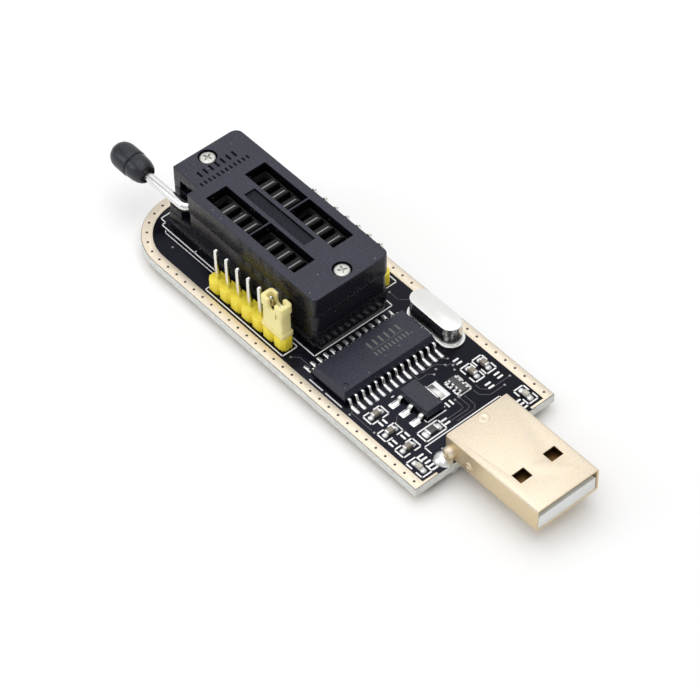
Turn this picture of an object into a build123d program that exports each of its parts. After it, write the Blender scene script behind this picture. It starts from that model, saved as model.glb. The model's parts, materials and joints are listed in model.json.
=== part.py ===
from build123d import *
import os
from math import cos, hypot, radians, sin, sqrt, tan

# USB programmer stick for memory chips: a bare circuit board with a USB-A plug at one end (+X), a
# zero-insertion-force socket with a lever at the other, two pin headers and surface-mount parts.
# Millimetres, +Z up, top of the board facing up. The origin is the centre of the footprint on the
# surface that the pin tails under the board stand on.

past = 1.0  # a cut runs this far past the face that it opens
join = 0.01  # two cuts that make one room overlap by this much

# --- circuit board ---------------------------------------------------------------------------
board_length = 69.4
board_width = 27.3
board_thickness = 1.6
board_corner_radius = 9.5
tail_drop = 1.4  # pin tails stand this far below the board
border_width = 1.8
border_thickness = 0.05
border_end_width = 0.5
border_end_gap = 18.4  # the end strip stops short of the plug and its solder
pin_pitch = 2.54

# --- USB-A plug ------------------------------------------------------------------------------
plug_reach = 17.1  # mouth of the plug beyond the board's edge
plug_overlap = 2.0  # shell over the board
plug_width = 12.0
plug_height = 4.5
plug_wall = 0.3
plug_corner = 0.45
plug_window_length = 2.0
plug_window_width = 2.3
plug_window_from_mouth = 6.35
plug_window_spacing = 6.02
tongue_height = 2.2
tongue_side_gap = 0.1
tongue_recess = 0.15
tongue_block_length = 5.0
plug_contact_thickness = 0.2
plug_contact_width = 1.0
plug_contact_side_inset = 2.5  # outer rows, in from the plug's sides
plug_contact_middle_row = 1.0
plug_contact_recess = 1.2
plug_tail_inset = 1.3  # contact tails behind the board's edge
plug_tail_hole = 0.55
leg_length = 1.5
leg_inset = 0.35
leg_slot_clearance = 0.1
leg_joint_radius = 1.25
leg_joint_tip_radius = 0.85
plug_joint_radius = 0.7
leg_solder_radius = 1.25
leg_solder_height = 1.1
leg_solder_taper = 38.0
leg_short = 0.5  # the legs end this much above the pin tails
plug_tail_short = 0.4
plug_floor_start = 0.1  # the shell's floor begins just past the board's edge

# --- zero-insertion-force socket ---------------------------------------------------------------
socket_from_edge = 29.2
socket_length = 35.6
socket_width = 14.75
socket_height = 11.45
cover_height = 4.0
socket_corner = 1.3
base_inset = 0.18
base_step_height = 3.9
base_step = 0.12
row_spacing = 7.62
contacts_per_row = 8
contact_offset = 0.86  # contact leaves off the socket's middle, towards the plug
slot_offset = 1.03
slot_length = 20.5
slot_width = 3.94
slot_rib = 0.35
cavity_roof = 2.05  # cover above the comb
label_length = 14.0
label_width = 2.1
label_depth = 0.35
screw_from_end = 1.85, 2.4  # lever end, plug end
screw_head_radius = 1.3
screw_head_height = 0.75
screw_recess = 0.15
screw_head_clearance = 0.2
screw_shank_radius = 0.8
screw_clearance = 0.12
screw_length = 8.0
screw_boss_radius = 1.35
screw_cross_width = 0.35
screw_cross_length = 1.6
screw_cross_depth = 0.3

# --- lever, cam and comb ------------------------------------------------------------------------
pivot_from_end = 4.3
pivot_height = 6.3  # above the board
lever_length = 17.45  # pivot to the tip of the knob
rod_radius = 0.8
rod_bend = 1.1
rod_y = 6.45  # rod's centre line, off the socket's middle
notch_length = 6.0
notch_wall_y = 5.3
bay_floor_gap = 0.2
bay_well_length = 2.3
bay_well_depth = 1.6
shaft_clearance = 0.05
shaft_end_y = 6.0
knob_radius = 2.25
knob_back_radius = 2.15
knob_front_length = 4.8
knob_length = 7.95
knob_mouth_radius = 1.25
knob_groove = 0.15
knob_grip_depth = 4.6
cam_throw = 0.636
cam_wall = 0.064  # thinnest metal between the shaft and the cam's rim
cam_width = 2.1
cam_y = 3.1
cam_clearance = 0.08
comb_travel = 0.9
comb_gap = 0.35  # between a contact leaf and the tooth that presses a chip's leg onto it
comb_tooth = 0.8
comb_height = 3.6
comb_rail = 0.6
comb_clearance = 0.12
comb_end_wall = 0.6
leaf_thickness = 0.2
leaf_recess = 0.45
leaf_low_recess = 1.6
leaf_top_length = 2.4
leaf_slope = 1.1
leaf_side_gap = 0.12
leaf_low = 0, 4  # these two leaves of each row stand lower
contact_tail_width = 0.5
contact_hole_radius = 0.45
base_floor = 1.5
pit_clearance = 0.02
pit_inset = 0.5

# --- pin headers and jumper -----------------------------------------------------------------------
header_ways = 7
header_first_x = -49.07
near_header_y = -9.83
far_header_y = 9.42
header_height = 2.54
header_width = 2.5
header_chamfer = 0.65
pin_side = 0.64
pin_top = 8.6
pin_hole_clearance = 0.05  # round a pin's corners
pin_point = 0.13
jumper_first_way = 5
jumper_length = 4.95
jumper_width = 2.4
jumper_height = 6.4
jumper_seat_gap = 0.1
jumper_travel_room = 0.05  # clearance of the clip on each face of a pin
clip_thickness = 0.2
clip_height = 3.6
clip_width = 1.3
clip_rise = 0.3  # clip above the cap's foot
jumper_edge = 0.3
jumper_opening = 0.9

# --- controller ---------------------------------------------------------------------------------
controller_x = -22.38
controller_y = -1.98
controller_width = 7.5
controller_length = 17.9
controller_height = 2.4
controller_standoff = 0.1
controller_draft = 8.0
lead_pitch = 1.27
leads_per_side = 14
lead_width = 0.42
lead_thickness = 0.25
lead_span = 10.3
lead_foot = 0.85
lead_knee_share = 0.45  # of the way from the body to the foot
lead_slant_share = 0.6  # of the lead's thickness, between its two bends
pin_one_radius = 0.55
pin_one_depth = 0.12
pin_one_inset = 1.3, 1.35

# --- crystal ------------------------------------------------------------------------------------
crystal_x = -21.5
crystal_y = 9.55
crystal_flange_length = 11.0
crystal_flange_width = 4.4
crystal_flange_height = 0.5
crystal_can_length = 10.1
crystal_can_width = 3.6
crystal_height = 3.8
crystal_edge = 0.5
crystal_lead_spacing = 4.88
crystal_lead_radius = 0.22
crystal_hole_radius = 0.4

# --- voltage regulator --------------------------------------------------------------------------
regulator_x = -11.74
regulator_y = -2.1
regulator_length = 6.5
regulator_width = 3.5
regulator_height = 1.65
regulator_draft = 10.0
regulator_lead_pitch = 2.3
regulator_lead_width = 0.75
regulator_tab_width = 3.0
regulator_span = 7.0
regulator_foot = 0.9
regulator_metal = 0.28
regulator_standoff = 0.06

# --- small parts --------------------------------------------------------------------------------
chip_length, chip_width, chip_height = 1.6, 0.85, 0.8
chip_cap = 0.35
capacitors_across = ((-14.37, -8.6), (-10.52, -9.21), (-6.6, -9.27))
capacitors_along = ((-11.19, 9.86), (-11.1, 7.46))
resistor_place = (-6.69, -4.5)
resistor_length, resistor_width, resistor_height = 2.0, 1.25, 0.55
resistor_cap = 0.4
array_place = (-10.63, 4.17)
array_length, array_width, array_height = 3.2, 1.6, 0.5
array_pitch = 0.8
array_cap_width = 0.45
array_cap_depth = 0.3
led_places = ((-2.82, -10.46), (-2.75, 10.46))
led_length, led_width, led_height = 1.6, 0.8, 0.6
led_cap = 0.3
led_base_height = 0.25

# --- solder under the board ---------------------------------------------------------------------
joint_height = 0.95
joint_radius = 0.95
joint_tip_wall = 0.05  # solder round the corners of a tail where the cone ends

# --- places that follow from the sizes above ------------------------------------------------------
socket_near_x = -socket_from_edge
socket_far_x = -socket_from_edge - socket_length
socket_x = (socket_near_x + socket_far_x) / 2
pivot_x = socket_far_x + pivot_from_end
total_length = plug_reach - pivot_x + lever_length
board_edge_x = total_length / 2 - plug_reach
board_top_z = tail_drop + board_thickness
cover_bottom = socket_height - cover_height
cam_radius = rod_radius + cam_throw + cam_wall
base_width = socket_width - 2 * base_inset
pin_corner = pin_side / 2 * sqrt(2)
pin_hole_radius = pin_corner + pin_hole_clearance
row_y = row_spacing / 2
cavity_roof_z = socket_height - cavity_roof
comb_top = cavity_roof_z - comb_clearance
comb_bottom = comb_top - comb_height
shelf_z = comb_bottom - comb_clearance
comb_half_width = row_y + slot_width / 2 + comb_rail
cavity_half_width = comb_half_width + comb_clearance
slot_x = socket_x + slot_offset
screw_places = (socket_far_x + screw_from_end[0], socket_near_x - screw_from_end[1])
tail_z = -board_thickness - tail_drop
contact_xs = [
    socket_x + contact_offset + (k - (contacts_per_row - 1) / 2) * pin_pitch
    for k in range(contacts_per_row)
]
header_xs = [header_first_x + k * pin_pitch for k in range(header_ways)]
pin_places = [(x, y) for y in (near_header_y, far_header_y) for x in header_xs]
socket_places = [(x, side * row_y) for side in (-1, 1) for x in contact_xs]
crystal_places = [(crystal_x + side * crystal_lead_spacing / 2, crystal_y) for side in (-1, 1)]
leg_x = (-leg_inset - leg_length, -leg_inset)
leg_y = plug_width / 2
plug_outer_row = plug_width / 2 - plug_contact_side_inset
plug_contact_rows = (-plug_outer_row, -plug_contact_middle_row, plug_contact_middle_row, plug_outer_row)
plug_places = [(-plug_tail_inset, y) for y in plug_contact_rows]
leg_places = [((leg_x[0] + leg_x[1]) / 2, side * (leg_y - plug_wall / 2)) for side in (-1, 1)]

# Everything on the board is drawn from the middle of its plug-end edge, on its top face.
deck = Plane((board_edge_x, 0, board_top_z))
under_board = deck.offset(-board_thickness)


def side_plane(y):
    """A plane that looks along +Y, at y on the board: local X along the board, local Y up."""
    return Plane(deck.origin + Vector(0, y, 0), x_dir=(1, 0, 0), z_dir=(0, -1, 0))


def cross_plane(x):
    """A plane across the board at x: local X across the board, local Y up."""
    return Plane(deck.origin + Vector(x, 0, 0), x_dir=(0, 1, 0), z_dir=(1, 0, 0))


def block(x, y, z, mode=Mode.ADD):
    """A box between the (low, high) pairs x, y and z, measured on the board."""
    with Locations(((x[0] + x[1]) / 2, (y[0] + y[1]) / 2, (z[0] + z[1]) / 2)):
        Box(x[1] - x[0], y[1] - y[0], z[1] - z[0], mode=mode)


def prism(plane, points, depth, mode=Mode.ADD):
    """An outline with straight sides, drawn on a plane and pulled both ways from it."""
    with BuildSketch(plane) as outline:
        with BuildLine():
            Polyline(*points, close=True)
        make_face()
    extrude(outline.sketch, amount=depth / 2, both=True, mode=mode)


def moulded_body(x, y, length_x, length_y, bottom, height, draft):
    """A moulded block whose sides draft inwards above and below its parting line."""
    inset = height * tan(radians(draft))
    sections = []
    for level, step in ((0, inset), (height / 2, 0), (height, inset)):
        with BuildSketch(deck.offset(bottom + level)) as section:
            with Locations((x, y)):
                Rectangle(length_x - step, length_y - step)
        sections.append(section.sketch.face())
    loft(sections, ruled=True)


def gull_wing(plane, root_x, tip_x, drop_from, foot, thickness, width):
    """A lead that leaves a body at root_x, steps down to the board and ends in a flat foot."""
    way = 1 if tip_x > root_x else -1
    foot_x = tip_x - way * foot
    knee_x = root_x + way * abs(foot_x - root_x) * lead_knee_share
    slant = way * thickness * lead_slant_share
    prism(
        plane,
        [
            (root_x, drop_from + thickness / 2),
            (knee_x + slant, drop_from + thickness / 2),
            (foot_x + slant, thickness),
            (tip_x, thickness),
            (tip_x, 0),
            (foot_x, 0),
            (knee_x, drop_from - thickness / 2),
            (root_x, drop_from - thickness / 2),
        ],
        width,
    )


def joints_under(places, tail_shape, radius, tip_radius):
    """A cone of solder under the board on each tail, with room for the tail in it."""
    with BuildSketch(under_board) as pads:
        with Locations(*places):
            Circle(radius)
    with BuildSketch(under_board.offset(-joint_height)) as tips:
        with Locations(*places):
            Circle(tip_radius)
    for pad, tip in zip(pads.sketch.faces().sort_by(Axis.X), tips.sketch.faces().sort_by(Axis.X)):
        loft([pad, tip])
    with BuildSketch(under_board) as tails:
        with Locations(*places):
            tail_shape()
    extrude(tails.sketch, amount=-joint_height, mode=Mode.SUBTRACT)


def finish(part, label):
    """Name a finished sub-part and write it out."""
    part.label = label
    export_step(part, f"parts/{label}.step")


os.makedirs("parts", exist_ok=True)

# ==================================================================================================
# Circuit board
# ==================================================================================================
with BuildPart() as circuit_board:
    with BuildSketch(under_board):
        with Locations((-board_length / 2, 0)):
            Rectangle(board_length, board_width)
        fillet(vertices().group_by(Axis.X)[0], board_corner_radius)
        with Locations(*socket_places):
            Circle(contact_hole_radius, mode=Mode.SUBTRACT)
        with Locations(*pin_places):
            Circle(pin_hole_radius, mode=Mode.SUBTRACT)
        with Locations(*crystal_places):
            Circle(crystal_hole_radius, mode=Mode.SUBTRACT)
        with Locations(*plug_places):
            Circle(plug_tail_hole, mode=Mode.SUBTRACT)
        with Locations(*leg_places):
            Rectangle(leg_length + 2 * leg_slot_clearance, plug_wall + 2 * leg_slot_clearance,
                      mode=Mode.SUBTRACT)
    extrude(amount=board_thickness)
finish(circuit_board.part, "circuit_board")

# The border of bare gilt copper, on both faces of the board.
with BuildPart() as board_border:
    for level in (0, -board_thickness - border_thickness):
        with BuildSketch(deck.offset(level)):
            with Locations((-board_length / 2, 0)):
                Rectangle(board_length, board_width)
            fillet(vertices().group_by(Axis.X)[0], board_corner_radius)
            inner_length = board_length - border_width - border_end_width
            with BuildSketch(deck.offset(level), mode=Mode.SUBTRACT):
                with Locations((-border_end_width - inner_length / 2, 0)):
                    Rectangle(inner_length, board_width - 2 * border_width)
                fillet(vertices().group_by(Axis.X)[0], board_corner_radius - border_width)
            with Locations((-border_end_width / 2, 0)):
                Rectangle(border_end_width, border_end_gap, mode=Mode.SUBTRACT)
        extrude(amount=border_thickness)
finish(board_border.part, "board_border")

# ==================================================================================================
# USB-A plug
# ==================================================================================================
mouth_x = plug_reach
plug_back_x = -plug_overlap
window_x = mouth_x - plug_window_from_mouth
with BuildPart(deck) as plug_shell:
    with BuildSketch(cross_plane(plug_back_x)):
        with Locations((0, plug_height / 2)):
            RectangleRounded(plug_width, plug_height, plug_corner)
            RectangleRounded(plug_width - 2 * plug_wall, plug_height - 2 * plug_wall,
                             plug_corner / 2, mode=Mode.SUBTRACT)
    extrude(amount=mouth_x - plug_back_x)
    with Locations(*[(window_x, side * plug_window_spacing / 2, plug_height / 2) for side in (-1, 1)]):
        Box(plug_window_length, plug_window_width, 2 * plug_height, mode=Mode.SUBTRACT)
    # Over the board the shell has no floor: its side walls stand on the board.
    block((plug_back_x - past, plug_floor_start), (-leg_y - past, leg_y + past),
          (-past, plug_wall + border_thickness),
          mode=Mode.SUBTRACT)
    # The legs go down through the board.
    for side in (-1, 1):
        leg_side = sorted((side * leg_y, side * (leg_y - plug_wall)))
        block(leg_x, leg_side, (tail_z + leg_short, plug_height / 2))
finish(plug_shell.part, "plug_shell")

tongue_top = plug_wall + tongue_height
contact_top = tongue_top + plug_contact_thickness
plug_inner_half = plug_width / 2 - plug_wall - tongue_side_gap
tongue_front_x = mouth_x - tongue_recess
block_back_x = plug_back_x + tongue_side_gap
plug_tail_x = (-plug_tail_inset - plug_contact_thickness / 2,
               -plug_tail_inset + plug_contact_thickness / 2)
with BuildPart(deck) as plug_insulator:
    block((plug_floor_start, tongue_front_x), (-plug_inner_half, plug_inner_half), (plug_wall, tongue_top))
    chamfer(edges().filter_by(Axis.X).group_by(Axis.Z)[0], plug_corner / 2)
    block((block_back_x, block_back_x + tongue_block_length), (-plug_inner_half, plug_inner_half),
          (plug_wall + border_thickness, plug_height - plug_wall - tongue_side_gap))
    chamfer(edges().filter_by(Axis.X).group_by(Axis.Z)[-1], plug_corner / 2)
    for y in plug_contact_rows:
        contact_y = (y - plug_contact_width / 2, y + plug_contact_width / 2)
        block((plug_tail_x[0], mouth_x), contact_y,
              (tongue_top, contact_top), mode=Mode.SUBTRACT)
        block(plug_tail_x, contact_y, (0, contact_top), mode=Mode.SUBTRACT)
finish(plug_insulator.part, "plug_insulator")

with BuildPart(deck) as plug_contacts:
    for y in plug_contact_rows:
        contact_y = (y - plug_contact_width / 2, y + plug_contact_width / 2)
        tail_y = (y - plug_contact_width / 4, y + plug_contact_width / 4)
        block((plug_tail_x[0], mouth_x - plug_contact_recess), contact_y, (tongue_top, contact_top))
        block(plug_tail_x, contact_y, (plug_wall, contact_top))
        block(plug_tail_x, tail_y, (tail_z + plug_tail_short, plug_wall))
finish(plug_contacts.part, "plug_contacts")

with BuildPart(deck) as leg_solder:
    for side in (-1, 1):
        leg_middle = ((leg_x[0] + leg_x[1]) / 2, side * (leg_y + leg_solder_radius / 2))
        with BuildSketch(deck):
            with Locations(leg_middle):
                Circle(leg_solder_radius)
        extrude(amount=leg_solder_height, taper=leg_solder_taper)
    solder_x = (leg_x[0] - leg_solder_radius, leg_x[1] + leg_solder_radius)
    block(solder_x, (-leg_y, leg_y), (-past, plug_height), mode=Mode.SUBTRACT)
finish(leg_solder.part, "leg_solder")

# ==================================================================================================
# Zero-insertion-force socket: base, cover, screws
# ==================================================================================================
notch_end_x = socket_far_x + notch_length
comb_front_x = contact_xs[-1] + leaf_thickness / 2 + comb_gap + comb_tooth + comb_rail
cavity_near_x = comb_front_x + comb_travel + comb_clearance
comb_back_x = contact_xs[0] - pin_pitch + leaf_thickness / 2 + comb_gap
cavity_far_x = comb_back_x - comb_clearance
cam_rest_x = pivot_x - cam_throw * sin(radians(45))
eye_half = cam_radius + cam_clearance
arm_back_x = cam_rest_x - eye_half - comb_end_wall
arm_front_x = cam_rest_x + eye_half + comb_end_wall
cam_bay_x = (arm_back_x - comb_clearance, cavity_far_x + join)
arm_y = (cam_y - cam_width / 2 - comb_clearance, cam_y + cam_width / 2 + comb_clearance)
cam_bay_half = arm_y[1] + 2 * comb_clearance
bay_floor = pivot_height - rod_radius - bay_floor_gap
cam_bay_floor = pivot_height - cam_radius - 2 * comb_clearance - comb_end_wall
pit_y = (row_y - slot_width / 2 - pit_clearance, row_y + slot_width / 2 + pit_clearance)

with BuildPart(deck) as socket_base:
    with BuildSketch(deck):
        with Locations((socket_x, 0)):
            RectangleRounded(socket_length, base_width, socket_corner)
    extrude(amount=base_step_height)
    with BuildSketch(deck.offset(base_step_height)):
        with Locations((socket_x, 0)):
            RectangleRounded(socket_length - 2 * base_step, base_width - 2 * base_step, socket_corner)
    extrude(amount=cover_bottom - base_step_height)
    # Room for the comb, and under it a pit along each row of contacts.
    block((cavity_far_x, cavity_near_x), (-cavity_half_width, cavity_half_width),
          (shelf_z, cover_bottom), mode=Mode.SUBTRACT)
    for side in (-1, 1):
        block((cavity_far_x + pit_inset, cavity_near_x), sorted((side * pit_y[0], side * pit_y[1])),
              (base_floor, cover_bottom), mode=Mode.SUBTRACT)
    # Room for the cams, round the boss of the lever-end screw.
    with BuildSketch(deck.offset(cover_bottom)):
        with Locations(((cam_bay_x[0] + cam_bay_x[1]) / 2, 0)):
            Rectangle(cam_bay_x[1] - cam_bay_x[0], 2 * cam_bay_half)
        with Locations((screw_places[0], 0)):
            Circle(screw_boss_radius, mode=Mode.SUBTRACT)
    extrude(amount=cam_bay_floor - cover_bottom, mode=Mode.SUBTRACT)
    # The open bay that the lever lies in, with a well under its bend.
    block((socket_far_x - past, notch_end_x), (-socket_width, -notch_wall_y), (bay_floor, cover_bottom),
          mode=Mode.SUBTRACT)
    block((notch_end_x - bay_well_length, notch_end_x), (-socket_width, -notch_wall_y),
          (bay_floor - bay_well_depth, cover_bottom), mode=Mode.SUBTRACT)
    # The shaft's bearings are slots, closed by the cover.
    shaft_slot = rod_radius + shaft_clearance
    with BuildSketch(side_plane(0)) as bearing:
        with Locations((pivot_x, pivot_height)):
            Circle(shaft_slot)
        with Locations((pivot_x, (pivot_height + cover_bottom) / 2)):
            Rectangle(2 * shaft_slot, cover_bottom - pivot_height)
    extrude(bearing.sketch, amount=socket_width, mode=Mode.SUBTRACT)
    extrude(bearing.sketch, amount=-shaft_end_y - shaft_clearance, mode=Mode.SUBTRACT)
    with Locations(*[(x, y, base_floor / 2) for x, y in socket_places]):
        Box(leaf_thickness, contact_tail_width, 2 * base_floor, mode=Mode.SUBTRACT)
    screw_tip = socket_height - screw_recess - screw_length
    with Locations(*[(x, 0, (screw_tip + cover_bottom) / 2) for x in screw_places]):
        Cylinder(screw_shank_radius, cover_bottom - screw_tip, mode=Mode.SUBTRACT)
finish(socket_base.part, "socket_base")

with BuildPart(deck) as socket_cover:
    with BuildSketch(deck.offset(cover_bottom)):
        with Locations((socket_x, 0)):
            RectangleRounded(socket_length, socket_width, socket_corner)
        with Locations((notch_end_x - notch_length, -socket_width / 2 - notch_wall_y)):
            Rectangle(2 * notch_length, socket_width, mode=Mode.SUBTRACT)
    extrude(amount=cover_height)
    block((cavity_far_x, cavity_near_x), (-cavity_half_width, cavity_half_width),
          (cover_bottom, cavity_roof_z), mode=Mode.SUBTRACT)
    with BuildSketch(deck.offset(cover_bottom)):
        with Locations(((cam_bay_x[0] + cam_bay_x[1]) / 2, 0)):
            Rectangle(cam_bay_x[1] - cam_bay_x[0], 2 * cam_bay_half)
        with Locations((screw_places[0], 0)):
            Circle(screw_boss_radius, mode=Mode.SUBTRACT)
    extrude(amount=cavity_roof_z - cover_bottom, mode=Mode.SUBTRACT)
    half_slot = (slot_length - slot_rib) / 2
    slot_steps = (half_slot + slot_rib) / 2
    with Locations(*[(slot_x + end * slot_steps, side * row_y, socket_height)
                     for end in (-1, 1) for side in (-1, 1)]):
        Box(half_slot, slot_width, 3 * cavity_roof, mode=Mode.SUBTRACT)
    with Locations((slot_x, 0, socket_height)):
        Box(label_length, label_width, 2 * label_depth, mode=Mode.SUBTRACT)
    with Locations(*[(x, 0, socket_height) for x in screw_places]):
        Cylinder(screw_shank_radius + screw_clearance, 3 * cover_height, mode=Mode.SUBTRACT)
        Cylinder(screw_head_radius + screw_head_clearance, 2 * (screw_recess + screw_head_height),
                 mode=Mode.SUBTRACT)
finish(socket_cover.part, "socket_cover")

with BuildPart(deck) as cover_screws:
    head_top = socket_height - screw_recess
    for x in screw_places:
        with BuildSketch(deck.offset(head_top)):
            with Locations((x, 0)):
                Circle(screw_head_radius)
        extrude(amount=-screw_head_height)
        with BuildSketch(deck.offset(head_top)):
            with Locations((x, 0)):
                Circle(screw_shank_radius)
        extrude(amount=-screw_length)
        for angle in (0, 90):
            with Locations(Location((x, 0, head_top), (0, 0, angle))):
                Box(screw_cross_length, screw_cross_width, 2 * screw_cross_depth, mode=Mode.SUBTRACT)
finish(cover_screws.part, "cover_screws")

# Each contact is one flat leaf that stands across the socket, with a tail through the board.
leaf_bottom = base_floor
with BuildPart(deck) as socket_contacts:
    for side in (-1, 1):
        for k, x in enumerate(contact_xs):
            leaf_top = socket_height - (leaf_low_recess if k in leaf_low else leaf_recess)
            leaf_y = side * row_y - slot_width / 2 + leaf_side_gap
            slope_end = leaf_y + leaf_top_length + leaf_slope
            tail = (side * row_y - contact_tail_width / 2, side * row_y + contact_tail_width / 2)
            prism(
                cross_plane(x),
                [
                    (leaf_y, leaf_top),
                    (leaf_y + leaf_top_length, leaf_top),
                    (slope_end, leaf_top - leaf_slope),
                    (slope_end, leaf_bottom),
                    (tail[1], leaf_bottom),
                    (tail[1], tail_z),
                    (tail[0], tail_z),
                    (tail[0], leaf_bottom),
                    (leaf_y, leaf_bottom),
                ],
                leaf_thickness,
            )
finish(socket_contacts.part, "socket_contacts")

# ==================================================================================================
# Comb: slides along the socket and presses a chip's legs onto the contacts
# ==================================================================================================
with BuildPart(deck) as socket_comb:
    block((comb_back_x, comb_front_x), (-comb_half_width, comb_half_width), (comb_bottom, comb_top))
    window = pin_pitch - comb_tooth
    with Locations(*[(x + leaf_thickness / 2 + comb_gap - window / 2, side * row_y,
                      (comb_bottom + comb_top) / 2) for side in (-1, 1) for x in contact_xs]):
        Box(window, slot_width, 2 * comb_height, mode=Mode.SUBTRACT)
    # An arm each side of the screw, with an eye that a cam turns in.
    for side in (-1, 1):
        arm_sides = sorted((side * arm_y[0], side * arm_y[1]))
        block((arm_back_x, arm_front_x), arm_sides, (cam_bay_floor + comb_clearance, comb_top))
        block((arm_front_x, comb_back_x), arm_sides, (comb_bottom, comb_top))
    eye_x = (cam_rest_x - eye_half, cam_rest_x + eye_half)
    eye_z = (pivot_height - cam_radius, pivot_height + cam_throw + eye_half)
    block(eye_x, (-cam_bay_half, cam_bay_half), eye_z, mode=Mode.SUBTRACT)
finish(socket_comb.part, "socket_comb")

# ==================================================================================================
# Lever: bent rod, two cams on its shaft, knob
# ==================================================================================================
knob_tip_x = pivot_x - lever_length
knob_mouth_x = knob_tip_x + knob_length
rod_end_x = knob_mouth_x - knob_grip_depth
with BuildPart() as lever_rod:
    with BuildLine(deck.offset(pivot_height)) as rod_path:
        FilletPolyline((pivot_x, shaft_end_y), (pivot_x, -rod_y), (rod_end_x, -rod_y), radius=rod_bend)
    with BuildSketch(Plane(rod_path.line @ 0, z_dir=rod_path.line % 0)):
        Circle(rod_radius)
    sweep()
finish(lever_rod.part, "lever_rod")

with BuildPart() as lever_cams:
    cam_centre = (cam_rest_x, pivot_height + cam_throw * cos(radians(45)))
    for side in (-1, 1):
        with BuildSketch(side_plane(side * cam_y)) as cam:
            with Locations(cam_centre):
                Circle(cam_radius)
            with Locations((pivot_x, pivot_height)):
                Circle(rod_radius, mode=Mode.SUBTRACT)
        extrude(cam.sketch, amount=cam_width / 2, both=True)
finish(lever_cams.part, "lever_cams")

knob_split_x = knob_tip_x + knob_front_length
knob_bore_x = knob_mouth_x - knob_grip_depth
with BuildPart() as lever_knob:
    with BuildSketch(side_plane(-rod_y)) as half_knob:
        with BuildLine():
            nose = CenterArc((knob_tip_x + knob_radius, pivot_height), knob_radius, 90, 90)
            front = Line(nose @ 0, (knob_split_x - knob_groove, pivot_height + knob_radius))
            groove = Polyline(front @ 1, (knob_split_x, pivot_height + knob_back_radius - knob_groove),
                              (knob_split_x + knob_groove, pivot_height + knob_back_radius))
            back = EllipticalCenterArc(
                (knob_split_x + knob_groove, pivot_height + knob_mouth_radius),
                knob_mouth_x - knob_split_x - knob_groove, knob_back_radius - knob_mouth_radius, arc_size=90)
            Polyline(back @ 0, (knob_mouth_x, pivot_height + rod_radius),
                     (knob_bore_x, pivot_height + rod_radius), (knob_bore_x, pivot_height), nose @ 1)
        make_face()
    revolve(half_knob.sketch, axis=Axis(deck.origin + Vector(0, -rod_y, pivot_height), (1, 0, 0)))
finish(lever_knob.part, "lever_knob")

# ==================================================================================================
# Pin headers and jumper
# ==================================================================================================
for header_y, header_name in ((near_header_y, "near_header"), (far_header_y, "far_header")):
    with BuildPart() as header_housing:
        for x in header_xs:
            with BuildSketch(deck):
                with Locations((x, header_y)):
                    Rectangle(pin_pitch, header_width)
                    chamfer(vertices(), header_chamfer)
            extrude(amount=header_height)
        with BuildSketch(deck):
            with Locations(*[(x, header_y) for x in header_xs]):
                Rectangle(pin_side, pin_side)
        extrude(amount=header_height, mode=Mode.SUBTRACT)
    finish(header_housing.part, f"{header_name}_housing")

    with BuildPart() as header_pins:
        with BuildSketch(deck.offset(tail_z)):
            with Locations(*[(x, header_y) for x in header_xs]):
                Rectangle(pin_side, pin_side)
        extrude(amount=pin_top - tail_z)
        chamfer(faces().sort_by(Axis.Z)[-header_ways:].edges(), pin_point)
    finish(header_pins.part, f"{header_name}_pins")

jumper_x = header_xs[jumper_first_way] + pin_pitch / 2
jumper_bottom = header_height + jumper_seat_gap
jumper_top = jumper_bottom + jumper_height
clip_bottom = jumper_bottom + clip_rise
clip_top = clip_bottom + clip_height
clip_room = pin_side / 2 + jumper_travel_room
clip_outer = clip_room + clip_thickness
jumper_ways = [header_xs[jumper_first_way], header_xs[jumper_first_way + 1]]
with BuildPart(deck) as jumper_cap:
    with Locations((jumper_x, near_header_y, (jumper_bottom + jumper_top) / 2)):
        Box(jumper_length, jumper_width, jumper_height)
    fillet(edges().filter_by(Axis.Z), jumper_edge)
    # The passage that the pins and the clip stand in is open at both ends.
    block((jumper_ways[0] - clip_room, jumper_ways[1] + clip_room),
          (near_header_y - clip_outer, near_header_y + clip_outer),
          (jumper_bottom, jumper_top), mode=Mode.SUBTRACT)
    with Locations((jumper_x, near_header_y, jumper_top)):
        Box(pin_pitch, 2 * jumper_width, 2 * jumper_opening, mode=Mode.SUBTRACT)
finish(jumper_cap.part, "jumper_cap")

# The clip is a folded strip: a wall each side of the pins, joined by a bridge between them.
with BuildPart(deck) as jumper_clip:
    for side in (-1, 1):
        wall_y = sorted((near_header_y + side * clip_room, near_header_y + side * clip_outer))
        block((jumper_ways[0] - clip_room, jumper_ways[1] + clip_room), wall_y, (clip_bottom, clip_top))
    block((jumper_x - clip_width / 2, jumper_x + clip_width / 2),
          (near_header_y - clip_room, near_header_y + clip_room), (clip_top - clip_thickness, clip_top))
finish(jumper_clip.part, "jumper_clip")

# ==================================================================================================
# Controller: moulded body and gull-wing leads
# ==================================================================================================
body_bottom = controller_standoff
body_top = body_bottom + controller_height
lead_height = body_bottom + controller_height / 2
with BuildPart() as controller_body:
    moulded_body(controller_x, controller_y, controller_width, controller_length, body_bottom,
                 controller_height, controller_draft)
    with BuildSketch(deck.offset(body_top)):
        with Locations((controller_x + controller_width / 2 - pin_one_inset[0],
                        controller_y - controller_length / 2 + pin_one_inset[1])):
            Circle(pin_one_radius)
    extrude(amount=-pin_one_depth, mode=Mode.SUBTRACT)
finish(controller_body.part, "controller_body")

with BuildPart() as controller_leads:
    for k in range(leads_per_side):
        lead_y = controller_y + (k - (leads_per_side - 1) / 2) * lead_pitch
        for way in (-1, 1):
            gull_wing(side_plane(lead_y), controller_x + way * controller_width / 2,
                      controller_x + way * lead_span / 2, lead_height, lead_foot, lead_thickness, lead_width)
finish(controller_leads.part, "controller_leads")

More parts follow.
